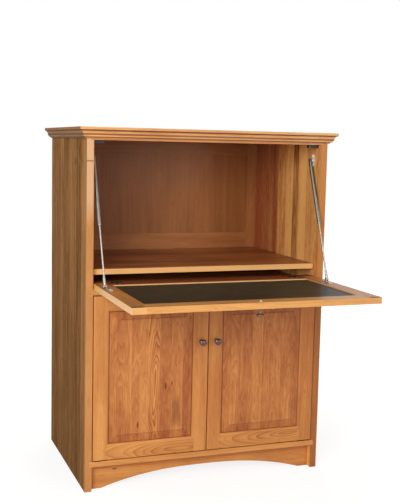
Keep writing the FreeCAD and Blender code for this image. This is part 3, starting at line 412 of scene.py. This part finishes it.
def glued(low, high, widths, tones, seed):
    """Boards of the given widths, repeated, from low to high."""
    rng = random.Random(seed)
    boards = []
    edge, number = low, 0
    while edge < high - LEAST_BOARD:
        width, tone = widths[number % len(widths)], tones[number % len(tones)]
        boards.append((edge, tone, edge + width * rng.uniform(0.25, 0.75), rng.random()))
        edge += width
        number += 1
    return boards


def single(node, across, tone, seed):
    """The one board that a whole piece is sawn from."""
    low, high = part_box(node)
    rng = random.Random(seed)
    middle = low[across] + (high[across] - low[across]) * rng.uniform(0.3, 0.7)
    return [(low[across] - 0.001, tone, middle, rng.random())]


def dress(node, look, bevel, segments=2):
    """Gives a node of the frame its material, smooth shading and eased edges."""
    piece = NODES[node]
    if not piece.material_slots:
        piece.data.materials.append(None)
    for slot in piece.material_slots:
        slot.material = look
    for polygon in piece.data.polygons:
        polygon.use_smooth = True
    weld = piece.modifiers.new("weld", "WELD")
    weld.merge_threshold = 0.00001
    if bevel:
        round_edges = piece.modifiers.new("bevel", "BEVEL")
        round_edges.width = bevel
        round_edges.segments = segments
        round_edges.limit_method = "ANGLE"
        round_edges.angle_limit = math.radians(38)
        round_edges.harden_normals = True
    flat = piece.modifiers.new("normals", "WEIGHTED_NORMAL")
    flat.keep_sharp = True


def wooden(node, grain, across, boards, bevel, **finish):
    dress(node, wood(node, grain, across, boards, **finish), bevel)


# ---------------------------------------------------------------- the sides
# Grain upright, boards glued across the depth from the front edge at -0.068 to the back edge at 0.534.
# Patches that end at LEFT_FRONT or RIGHT_FRONT cover the front edge alone.
LEFT_FRONT, RIGHT_FRONT = -0.0665, -0.0660
SIDE_BEVEL = 0.0009
# The left side's outer face has darker, duller colours than its inner face, which keeps the case's own:
# painted shade.
wooden("side_left", Z, Y, [
    (-0.068, 0.16, 0.00, 0.21), (0.010, 0.58, 0.04, 0.66), (0.098, 0.44, 0.15, 0.37),
    (0.205, 0.56, 0.24, 0.83), (0.300, 0.42, 0.33, 0.12), (0.395, 0.54, 0.42, 0.55),
    (0.470, 0.36, 0.51, 0.91)],
    SIDE_BEVEL, figure=1.3, coarse=0.12, mottle=0.12, year=0.0080, veil=0.0,
    pale=linear(198, 150, 100), deep=linear(122, 83, 50), far=(1, PALE, DEEP),
    knots=((1.1875, 0.037, 0.006), (1.151, 0.112, 0.005)),
    patches=((-0.1, 1.40, -0.090, LEFT_FRONT, 0.01, linear(203, 140, 86), 0.75),
             (0.93, 1.40, -0.090, LEFT_FRONT, 0.10, linear(224, 187, 154), 0.55),
             (-1.0, 0.95, -0.050, 0.560, 0.70, linear(106, 75, 46), 0.45),
             (1.1530, 1.1600, -0.086, -0.0650, 0.003, linear(140, 60, 44), 0.80),
             (-0.1, 1.4, 0.112, 0.120, 0.01, linear(86, 52, 28), 0.50)))
# The right side's inner face has lighter colours than its outer face, which keeps the case's own: painted
# light.
wooden("side_right", Z, Y, [
    (-0.068, 0.36, -0.03, 0.41), (0.040, -0.06, 0.08, 0.16, 0.6), (0.114, 0.52, 0.135, 0.57, 1.5),
    (0.156, -0.16, 0.19, 0.73, 0.5), (0.214, 0.40, 0.24, 0.33), (0.256, 0.56, 0.28, 0.22),
    (0.296, 0.74, 0.33, 0.95), (0.366, 0.80, 0.41, 0.35), (0.450, 0.86, 0.50, 0.65)],
    SIDE_BEVEL, figure=1.2, coarse=0.22, mottle=0.14, year=0.0060,
    pale=linear(255, 198, 120), deep=linear(176, 84, 40), far=(1, PALE, DEEP),
    patches=((0.76, 1.30, 0.112, 0.160, 0.05, linear(118, 58, 28), 0.55),
             (-0.1, 1.4, 0.296, 0.560, 0.01, linear(140, 92, 64), 0.35),
             (-0.1, 1.4, -0.095, RIGHT_FRONT, 0.01, linear(146, 80, 34), 0.85),
             (0.68, 1.4, -0.095, RIGHT_FRONT, 0.08, linear(190, 122, 50), 0.85)))

# ---------------------------------------------------------------- level boards
# Grain left to right, boards glued across the depth: node, tones, finish.
LEVEL_WIDTHS = (0.110, 0.098, 0.136, 0.124)
LEVEL_SEED = 30
LEVEL_BEVEL = 0.0007
LIT_FRONT_STRIP = 0.005                       # painted light: the pale strip along the front edge of the monitor shelf
LEVEL_BOARDS = (
    ("top_board", (0.50, 0.60, 0.54), {}),
    ("lid_panel", (0.34, 0.46, 0.38, 0.52), {"gloss": 0.80, "veil": 0.06}),
    ("divider_board", (0.42, 0.36, 0.50), {}),
    ("bottom_board", (0.26, 0.40, 0.34), {}),
    # The monitor shelf's darker, redder colours are painted shade on its top.
    ("monitor_shelf", (0.60, 0.74, 0.66, 0.80), {"pale": linear(232, 156, 88), "deep": linear(108, 46, 22)}),
    ("lower_shelf", (0.40, 0.34, 0.48), {}),
)
for number, (node, tones, finish) in enumerate(LEVEL_BOARDS):
    low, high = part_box(node)
    boards = glued(low[Y], high[Y], LEVEL_WIDTHS, tones, LEVEL_SEED + number)
    # The pale strip and the pale patch along the shelf's front edge are painted light.
    if node == "monitor_shelf":
        boards = [(low[Y], -0.4, low[Y], 0.5), (low[Y] + LIT_FRONT_STRIP, *boards[0][1:]), *boards[1:]]
        finish = {**finish, "patches": ((-1, 1, low[Y] - 0.01, low[Y] + 0.004, 0.01, LIT_EDGE_PALE, 0.55),)}
    wooden(node, X, Y, boards, LEVEL_BEVEL, **finish)

# ---------------------------------------------------------------- pieces sawn from one board
LOOPED = {"figure": 1.2, "pith": (0.027, 0.032), "taper": -0.16, "burl": 0.004, "year": 0.0075}
BACKING = {"pale": linear(180, 118, 66), "deep": linear(130, 79, 42), "gloss": 0.5}
# Painted shade: darker, redder colours for the boards in shade under the shelf.
SHADED_REDDISH = {"pale": SHADED_RED_PALE, "deep": SHADED_RED_DEEP}
# Painted light on the flap's lit edges and on the lit wall of its rear rail.
LIT_GOLD = linear(240, 192, 126)
GOLDEN = {"pale": linear(226, 168, 100), "deep": linear(178, 112, 56), "figure": 0.6}
PLAIN_FIGURE = {"figure": 0.35}

# Painted shade in the crown's creases, which run right along it: how high each starts, how wide it is and
# how dark.
CREASE_SHADE_BANDS = ((1.2560, 0.0060, 0.90), (1.2420, 0.0075, 0.85), (1.2320, 0.0060, 0.75))


def painted_crease_shades(tint):
    return [(-1, 1, z, z + width, 0.01, tint, amount) for z, width, amount in CREASE_SHADE_BANDS]


# The crown front: a paler colour, painted light on its lit mouldings, and painted shade in its creases.
CROWN_LIT_AND_SHADED = {"figure": 0.8, "pale": linear(240, 189, 122), "patches": painted_crease_shades(linear(124, 44, 22))}
# The crown's left end: duller, darker colours, painted shade on that face, and painted shade in its creases.
CROWN_SIDE_SHADED = {"gloss": 0.60, "veil": 0.12, "pale": linear(198, 146, 84), "deep": linear(132, 84, 42),
        "patches": painted_crease_shades(linear(96, 62, 32))}

# Painted light: the flap's edges round the writing surface and along its front, and the front wall of its
# rear rail, are painted a bright gold where the lamp falls on them.
LEFT_STILE_LIT_EDGES = ((-0.60, 0.0, -0.44, -0.4220, 0.001, LIT_GOLD, 0.85),
                    (-0.60, -0.5325, -0.44, -0.36, 0.001, LIT_GOLD, 0.65))
RIGHT_STILE_LIT_EDGES = ((-0.60, 0.0, 0.355, 0.3690, 0.001, LIT_GOLD, 0.85),
                     (-0.60, -0.5325, 0.36, 0.44, 0.001, LIT_GOLD, 0.5))
REAR_RAIL_LIT_EDGE = ((-0.5, 0.5, -0.115, -0.0935, 0.01, LIT_GOLD, 0.85),)

FRAME_BEVEL = 0.0004
SINGLE_BOARDS = (                       # node, grain, across, tone, seed, finish
    ("apron", X, Z, 0.50, 51, {"knots": ((-0.338, 0.066, 0.0030),), "figure": 0.6}),
    ("crown_front", X, Z, 0.34, 52, CROWN_LIT_AND_SHADED),
    ("crown_left", Y, Z, 0.60, 53, CROWN_SIDE_SHADED),
    ("crown_right", Y, Z, 0.42, 54, {**CROWN_LIT_AND_SHADED, "gloss": 0.60, "veil": 0.16}),
    # The hinge rail's darker, redder colours are painted shade under the shelf.
    ("hinge_rail", X, Y, 0.60, 55, SHADED_REDDISH),
    ("corner_blocks", Z, X, 0.4, 56, {}),
    ("shelf_cleats", Y, Z, 0.5, 57, {}),
    ("back_stile_left", Z, X, 0.60, 58, BACKING),
    ("back_stile_right", Z, X, 0.35, 59, BACKING),
    ("back_rail_bottom", X, Z, 0.5, 60, BACKING),
    ("back_rail_middle", X, Z, 0.35, 61, BACKING),
    ("back_rail_top", X, Z, 0.55, 62, BACKING),
    ("flap_stile_left", Y, X, 0.55, 63, {"patches": LEFT_STILE_LIT_EDGES}),
    ("flap_stile_right", Y, X, 0.50, 64, {"patches": RIGHT_STILE_LIT_EDGES}),
    ("flap_front_rail", X, Y, 0.24, 65, GOLDEN),
    # The top of the flap's rear rail has darker, redder colours, painted shade; its underside keeps plain
    # colours and its front wall has painted light.
    ("flap_rear_rail", X, Y, 0.55, 66, {**SHADED_REDDISH, "far": (-1, PALE, DEEP), "patches": REAR_RAIL_LIT_EDGE}),
    ("door_left_hinge_stile", Z, X, 0.32, 71, PLAIN_FIGURE),
    ("door_left_meeting_stile", Z, X, 0.52, 72, PLAIN_FIGURE),
    ("door_left_bottom_rail", X, Z, 0.34, 73, LOOPED),
    ("door_left_top_rail", X, Z, 0.48, 74, {}),
    ("door_right_hinge_stile", Z, X, 0.66, 75, {"figure": 0.5}),
    ("door_right_meeting_stile", Z, X, 0.56, 76, PLAIN_FIGURE),
    ("door_right_bottom_rail", X, Z, 0.50, 77, LOOPED),
    ("door_right_top_rail", X, Z, 0.48, 78, {}),
)
for node, grain, across, tone, seed, finish in SINGLE_BOARDS:
    wooden(node, grain, across, single(node, across, tone, seed), FRAME_BEVEL, **finish)

# ---------------------------------------------------------------- panels
# Raised panels: boards glued across the width.
RAISED = {"pale": FIELD_PALE, "deep": FIELD_DEEP, "figure": 0.9, "taper": 0.085, "burl": 0.014,
          "year": 0.0070, "mottle": 0.14}
PANEL_BEVEL = 0.0005
RIM_LOW, RIM_HIGH = 0.1665, 0.6382      # the door frames' openings
RIM_NEAR, RIM_FAR = 0.0580, 0.3675      # from the middle of the case
# Painted shade lies on the slopes round each panel's field and in the creases at its edges.
wooden("door_left_panel", Z, X, [
    (-0.376, 0.42, -0.335, 0.31), (-0.287, 0.40, -0.262, 0.77, 0.7), (-0.258, 0.26, -0.24, 0.64, 0.5),
    (-0.226, 0.12, -0.198, 0.04, 2.6), (-0.182, 0.60, -0.16, 0.92, 0.6), (-0.140, 0.34, -0.12, 0.45, 0.8),
    (-0.098, 0.62, -0.07, 0.25)],
    PANEL_BEVEL, rim=(RIM_LOW, RIM_HIGH, -RIM_FAR, -RIM_NEAR), **RAISED,
    knots=((0.3605, -0.1591, 0.0050), (0.3699, -0.1363, 0.0036), (0.2262, -0.2617, 0.0036)),
    patches=((0.200, 0.335, -0.143, -0.098, 0.05, linear(104, 52, 24), 0.50),))
wooden("door_right_panel", Z, X, [
    (0.050, 0.46, 0.09, 0.62), (0.124, 0.54, 0.15, 0.28), (0.173, 0.34, 0.19, 0.05),
    (0.214, 0.46, 0.26, 0.85), (0.290, 0.58, 0.32, 0.47)],
    PANEL_BEVEL, rim=(RIM_LOW, RIM_HIGH, RIM_NEAR, RIM_FAR), **RAISED)
wooden("flap_panel", X, Y, glued(-0.51, -0.10, (0.11, 0.09, 0.12), (0.48, 0.38, 0.55), 81),
       PANEL_BEVEL, **{**RAISED, "figure": 0.6})

# Back panels: sliced veneer on plywood, duller and darker than the solid wood.
VENEER = {"pale": linear(170, 110, 60), "deep": linear(124, 74, 38), "figure": 0.25, "gloss": 0.50}
VENEER_SEED = 91
for number, node in enumerate(("back_panel_upper", "back_panel_lower")):
    leaves = glued(-0.40, 0.40, (0.205,), (0.44, 0.50, 0.42, 0.52), VENEER_SEED + number)
    wooden(node, Z, X, leaves, 0.0, **VENEER)


# ---------------------------------------------------------------- other materials
# How fine the noise of each is, in waves per metre.
DRAWN_ALONG, DRAWN_ACROSS, TARNISH = 40.0, 1800.0, 90.0
STIPPLE = 2400.0
MARBLE, MARBLE_FLECK = 14.0, 900.0


def metal(name, color, roughness, grain=X, spread=0.10, ridge=0.08, **constants):
    """A metal with fine drawn lines along one axis and a slight change of tone."""
    t = material(name)
    lines = t.grain_noise([DRAWN_ALONG if axis == grain else DRAWN_ACROSS for axis in (X, Y, Z)])
    cloud = t.grain_noise([TARNISH] * 3)
    tint = t.mix(t.span(cloud, 0.3, 0.7), color, tuple(c * 0.72 for c in color))
    rough = t.span(cloud, 0.3, 0.7, roughness, roughness * 1.25)
    rough = t.plus(t.span(lines, 0.3, 0.7, 0.0, spread), rough)
    return t.shader(tint, rough, t.bump(lines, ridge, 0.0001), **constants)


def moulded(name, color, roughness):
    """Injection-moulded plastic with a fine stipple."""
    t = material(name)
    stipple = t.grain_noise([STIPPLE] * 3, detail=1.0)
    tint = t.mix(t.span(stipple, 0.3, 0.7), color, tuple(c * 0.6 for c in color))
    rough = t.span(stipple, 0.3, 0.7, roughness - 0.06, roughness + 0.08)
    return t.shader(tint, rough, t.bump(stipple, 0.3, 0.0001))


def linoleum(name):
    """The writing surface: dark grey-green sheet with a fine marbled fleck and a dull sheen."""
    t = material(name)
    fleck = t.grain_noise([MARBLE_FLECK] * 3, detail=3.0, rough=0.7)
    cloud = t.grain_noise([MARBLE] * 3, detail=4.0, rough=0.6)
    tint = t.mix(t.span(cloud, 0.3, 0.7), linear(36, 38, 30), linear(50, 52, 42))
    tint = t.mix(t.span(fleck, 0.45, 0.75, 0.0, 0.6), tint, linear(28, 30, 26))
    rough = t.plus(t.span(cloud, 0.3, 0.7, 0.30, 0.38), t.span(fleck, 0.3, 0.7, 0.0, 0.08))
    return t.shader(tint, rough, t.bump(fleck, 0.25, 0.0002), Specular_IOR_Level=0.06)


LINOLEUM = linoleum("writing_linoleum")
NICKEL = metal("bright_nickel", (0.44, 0.415, 0.375), 0.30, Z, 0.04, 0.02, Metallic=1.0)
TUBE = metal("drawn_tube", (0.26, 0.245, 0.215), 0.30, Z, 0.04, 0.02, Metallic=1.0)
# Painted highlight: a near-white nickel for the stay plates and the screw heads, where the lamp's glint
# falls on them.
HIGHLIGHT_NICKEL = metal("nickel_painted_highlight", (0.94, 0.93, 0.91), 0.40, Z, Metallic=0.15)
CAST = metal("cast_nickel", (0.60, 0.57, 0.53), 0.34, Z, Metallic=0.8)
ANTIQUE = metal("antique_brass", (0.012, 0.013, 0.010), 0.42, X, Metallic=0.5, Specular_IOR_Level=0.10)
STEEL = metal("dark_steel", (0.05, 0.045, 0.04), 0.36, X, Metallic=0.9)
PLATE = metal("grey_plate", (0.05, 0.05, 0.052), 0.40, X, Metallic=1.0)
BRONZE = metal("oiled_bronze", linear(80, 34, 24), 0.30, Z,
               Metallic=0.3, Coat_Weight=1.0, Coat_Roughness=0.07)
# Painted light: the flap knob has a lighter copy of the door knobs' metal, as it is lit from below.
LIT_KNOB_BRASS = metal("knob_brass_painted_light", linear(116, 84, 58), 0.34, Z,
              Metallic=0.6, Coat_Weight=0.4, Coat_Roughness=0.12)
BLACK = moulded("black_plastic", (0.012, 0.012, 0.013), 0.42)

FITTINGS = (                            # look, eased edge, its segments, nodes
    (LINOLEUM, 0.0004, 2, ("writing_surface",)),
    (NICKEL, 0.0003, 2, ("stay_rod_left", "stay_rod_right")),
    (TUBE, 0.0003, 2, ("stay_tube_left", "stay_tube_right")),
    (CAST, 0.0003, 2, ("stay_feet",)),
    (HIGHLIGHT_NICKEL, 0.0003, 2, ("stay_plates",)),
    (HIGHLIGHT_NICKEL, 0.0, 2, ("flap_knob_screw",)),
    (ANTIQUE, 0.0002, 2, ("flap_hinge_leaves", "rail_hinge_leaves", "case_pivots", "shelf_pins")),
    (STEEL, 0.0002, 2, ("flap_strikes", "door_left_fittings", "door_right_fittings")),
    (PLATE, 0.0002, 2, ("catch_plates",)),
    (BLACK, 0.0010, 3, ("flap_catches", "door_catch")),
    (BRONZE, 0.0, 2, ("door_left_knob", "door_right_knob")),
    (LIT_KNOB_BRASS, 0.0, 2, ("flap_knob",)),
)
for look, bevel, segments, nodes in FITTINGS:
    for node in nodes:
        dress(node, look, bevel, segments)


# ---------------------------------------------------------------- screws
RINGS, SPOKES = 10, 48
CROSS_ARM, CROSS_WIDTH, CROSS_DEPTH = 0.62, 0.15, 0.34      # as shares of the head's radius
CONE_END, CONE_DEPTH = 0.72, 0.45


def dome_point(r, angle, radius, proud):
    """A point of a screw's head: a shallow dome, pressed in along the arms of the cross."""
    x, y = r * math.cos(angle), r * math.sin(angle)
    z = proud * (1 - (r / radius) ** 2)
    arm = radius * CROSS_ARM
    if min(abs(x), abs(y)) < radius * CROSS_WIDTH and r < arm:
        z -= radius * CROSS_DEPTH * (1 - 0.6 * r / arm)
    return x, y, z


def screw(name, place, normal, radius, body, look, turn, proud=0.0002):
    """A countersunk cross-recess head, drawn as a grid of rings and spokes with a cone below."""
    mesh = bpy.data.meshes.new(name)
    bm = bmesh.new()
    centre = bm.verts.new((0, 0, proud - radius * CROSS_DEPTH))
    angles = [2 * math.pi * spoke / SPOKES for spoke in range(SPOKES)]
    rings = [[bm.verts.new(dome_point(radius * ring / RINGS, angle, radius, proud)) for angle in angles]
             for ring in range(1, RINGS + 1)]
    rings.append([bm.verts.new((v.co.x * CONE_END, v.co.y * CONE_END, -radius * CONE_DEPTH))
                  for v in rings[-1]])
    for i in range(SPOKES):
        j = (i + 1) % SPOKES
        bm.faces.new((centre, rings[0][i], rings[0][j]))
        for inner, outer in zip(rings, rings[1:]):
            bm.faces.new((inner[i], outer[i], outer[j], inner[j]))
    bm.faces.new(list(reversed(rings[-1])))
    bmesh.ops.recalc_face_normals(bm, faces=bm.faces)
    bm.to_mesh(mesh)
    bm.free()
    for polygon in mesh.polygons:
        polygon.use_smooth = True
    mesh.set_sharp_from_angle(angle=math.radians(40))
    mesh.materials.append(look)
    piece = bpy.data.objects.new(name, mesh)
    SCENE.collection.objects.link(piece)
    facing = Vector(normal).to_track_quat("Z", "Y").to_matrix().to_4x4()
    piece.matrix_world = Matrix.Translation(place) @ facing @ Matrix.Rotation(turn, 4, "Z")
    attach(piece, body)


UP, BACKWARD = (0, 0, 1), (0, 1, 0)
HINGE_SCREW, STRIKE_SCREW, BACK_SCREW = 0.0031, 0.0024, 0.0036      # radii of the heads

# Two screws on each side of each flap hinge's pin.
DESK_Z = 0.737
HINGE_Y = -0.047
HINGE_X = 0.3395
HINGE_SCREW_X, HINGE_SCREW_Y = 0.0105, 0.0115       # from the middle of the hinge
for side, sign in SIDES:
    for number, dx in enumerate((-HINGE_SCREW_X, HINGE_SCREW_X)):
        x = sign * HINGE_X + dx
        screw(f"screw_flap_hinge_{side}_{number}", (x, HINGE_Y - HINGE_SCREW_Y, DESK_Z), UP, HINGE_SCREW,
              "flap", HIGHLIGHT_NICKEL, 0.4 + number)
        screw(f"screw_rail_hinge_{side}_{number}", (x, HINGE_Y + HINGE_SCREW_Y, DESK_Z), UP, HINGE_SCREW,
              "case", HIGHLIGHT_NICKEL, 0.9 + number)

# Two screws in each strike at the flap's free edge.
STRIKE_XS = (0.3945, 0.4145)
strike_low, strike_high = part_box("flap_strikes")
strike_y = (strike_low[Y] + strike_high[Y]) / 2
for side, sign in SIDES:
    for number, x in enumerate(STRIKE_XS):
        screw(f"screw_strike_{side}_{number}", (sign * x, strike_y, strike_high[Z]), UP, STRIKE_SCREW,
              "flap", STEEL, 0.3 + number)

# The back is screwed on along its stiles and its rails.
BACK_Y = 0.534
BACK_PROUD = 0.0004
STILE_X = 0.431
STILE_ZS = (0.16, 0.40, 0.62, 0.86, 1.04, 1.20)
RAIL_XS = (-0.30, -0.10, 0.10, 0.30)
RAIL_ZS = (("low", 0.098), ("mid", 0.775), ("high", 1.239))
for row, z in enumerate(STILE_ZS):
    for side, sign in SIDES:
        screw(f"screw_back_{side}_{row}", (sign * STILE_X, BACK_Y, z), BACKWARD, BACK_SCREW, "case", STEEL,
              0.5 * row, BACK_PROUD)
for column, x in enumerate(RAIL_XS):
    for level, z in RAIL_ZS:
        screw(f"screw_back_{level}_{column}", (x, BACK_Y, z), BACKWARD, BACK_SCREW, "case", STEEL,
              0.7 * column, BACK_PROUD)


# ---------------------------------------------------------------- stage, light and camera
FLOOR_HALF = 14.0
FLOOR_DROP = 0.0004                     # so that the floor doesn't fight with the feet
NEAR, AWAY = 0.6, 2.2                   # the floor's own glow grows between these distances
WARM = (1.0, 0.97, 0.92)
LAMP_AIM = (0.0, 0.0, 0.7)
LAMPS = (                               # name, place, size in metres, power in watts
    ("key", (-2.25, -2.95, 1.75), 1.5, 100),
    ("fill", (1.5, -3.4, 1.65), 1.4, 32),
    ("rear", (0.9, 3.6, 2.3), 1.8, 34),
)
CAMERA_PLACE = (-1.1550, -3.0711, 1.2181)
YAW, PITCH, ROLL = math.radians(20.360), math.radians(6.730), math.radians(1.268)
LENS, SENSOR = 64.92, 36.0


def stage_floor():
    """A floor that is seen as white with the object's faint shadow, and lights the object as plain white."""
    t = material("floor_white")
    where = t.object_axes()
    away = t.length(where[X], where[Y])
    add = t.node("ShaderNodeAddShader")
    t.put(add.inputs[0], t.diffuse(0.30))
    t.put(add.inputs[1], t.glow("ShaderNodeEmission", (1, 1, 1), t.span(away, NEAR, AWAY, 0.83, 1.0)))
    t.put(t.output.inputs[0], t.choose(t.seen(), t.diffuse(0.80), add.outputs[0]))
    mesh = bpy.data.meshes.new("stage_floor")
    corners = [(-FLOOR_HALF, -FLOOR_HALF), (FLOOR_HALF, -FLOOR_HALF), (FLOOR_HALF, FLOOR_HALF),
               (-FLOOR_HALF, FLOOR_HALF)]
    mesh.from_pydata([(x, y, 0) for x, y in corners], [], [(0, 1, 2, 3)])
    mesh.materials.append(t.owner)
    floor = bpy.data.objects.new("stage_floor", mesh)
    floor.location.z = -FLOOR_DROP
    SCENE.collection.objects.link(floor)


def sky():
    """A white background where it is seen, and a dim warm one as light."""
    world = bpy.data.worlds.new("studio")
    SCENE.world = world
    t = Tree(world, "ShaderNodeOutputWorld")
    dim = t.glow("ShaderNodeBackground", (1.0, 0.985, 0.96), 0.25)
    white = t.glow("ShaderNodeBackground", (1, 1, 1), 1.0)
    t.put(t.output.inputs[0], t.choose(t.seen(), dim, white))


def lamp(name, place, size, power):
    data = bpy.data.lights.new(name, "AREA")
    data.shape = "SQUARE"
    data.size = size
    data.energy = power
    data.color = WARM
    piece = bpy.data.objects.new(name, data)
    SCENE.collection.objects.link(piece)
    piece.location = place
    piece.rotation_euler = (Vector(LAMP_AIM) - Vector(place)).to_track_quat("-Z", "Y").to_euler()


def photo_camera():
    """The photo's camera, solved from the case's straight edges."""
    ahead = Vector((math.sin(YAW) * math.cos(PITCH), math.cos(YAW) * math.cos(PITCH), -math.sin(PITCH)))
    level = Vector((math.cos(YAW), -math.sin(YAW), 0))
    upright = level.cross(ahead)
    right = math.cos(ROLL) * level + math.sin(ROLL) * upright
    up = -math.sin(ROLL) * level + math.cos(ROLL) * upright
    data = bpy.data.cameras.new("camera")
    data.sensor_width = SENSOR
    data.sensor_fit = "AUTO"
    data.lens = LENS
    camera = bpy.data.objects.new("camera", data)
    SCENE.collection.objects.link(camera)
    turn = Matrix((right, up, -ahead)).transposed().to_4x4()
    camera.matrix_world = Matrix.Translation(CAMERA_PLACE) @ turn
    SCENE.camera = camera


stage_floor()
sky()
for settings in LAMPS:
    lamp(*settings)
photo_camera()
SCENE.view_settings.view_transform = "Standard"

bpy.context.view_layer.update()
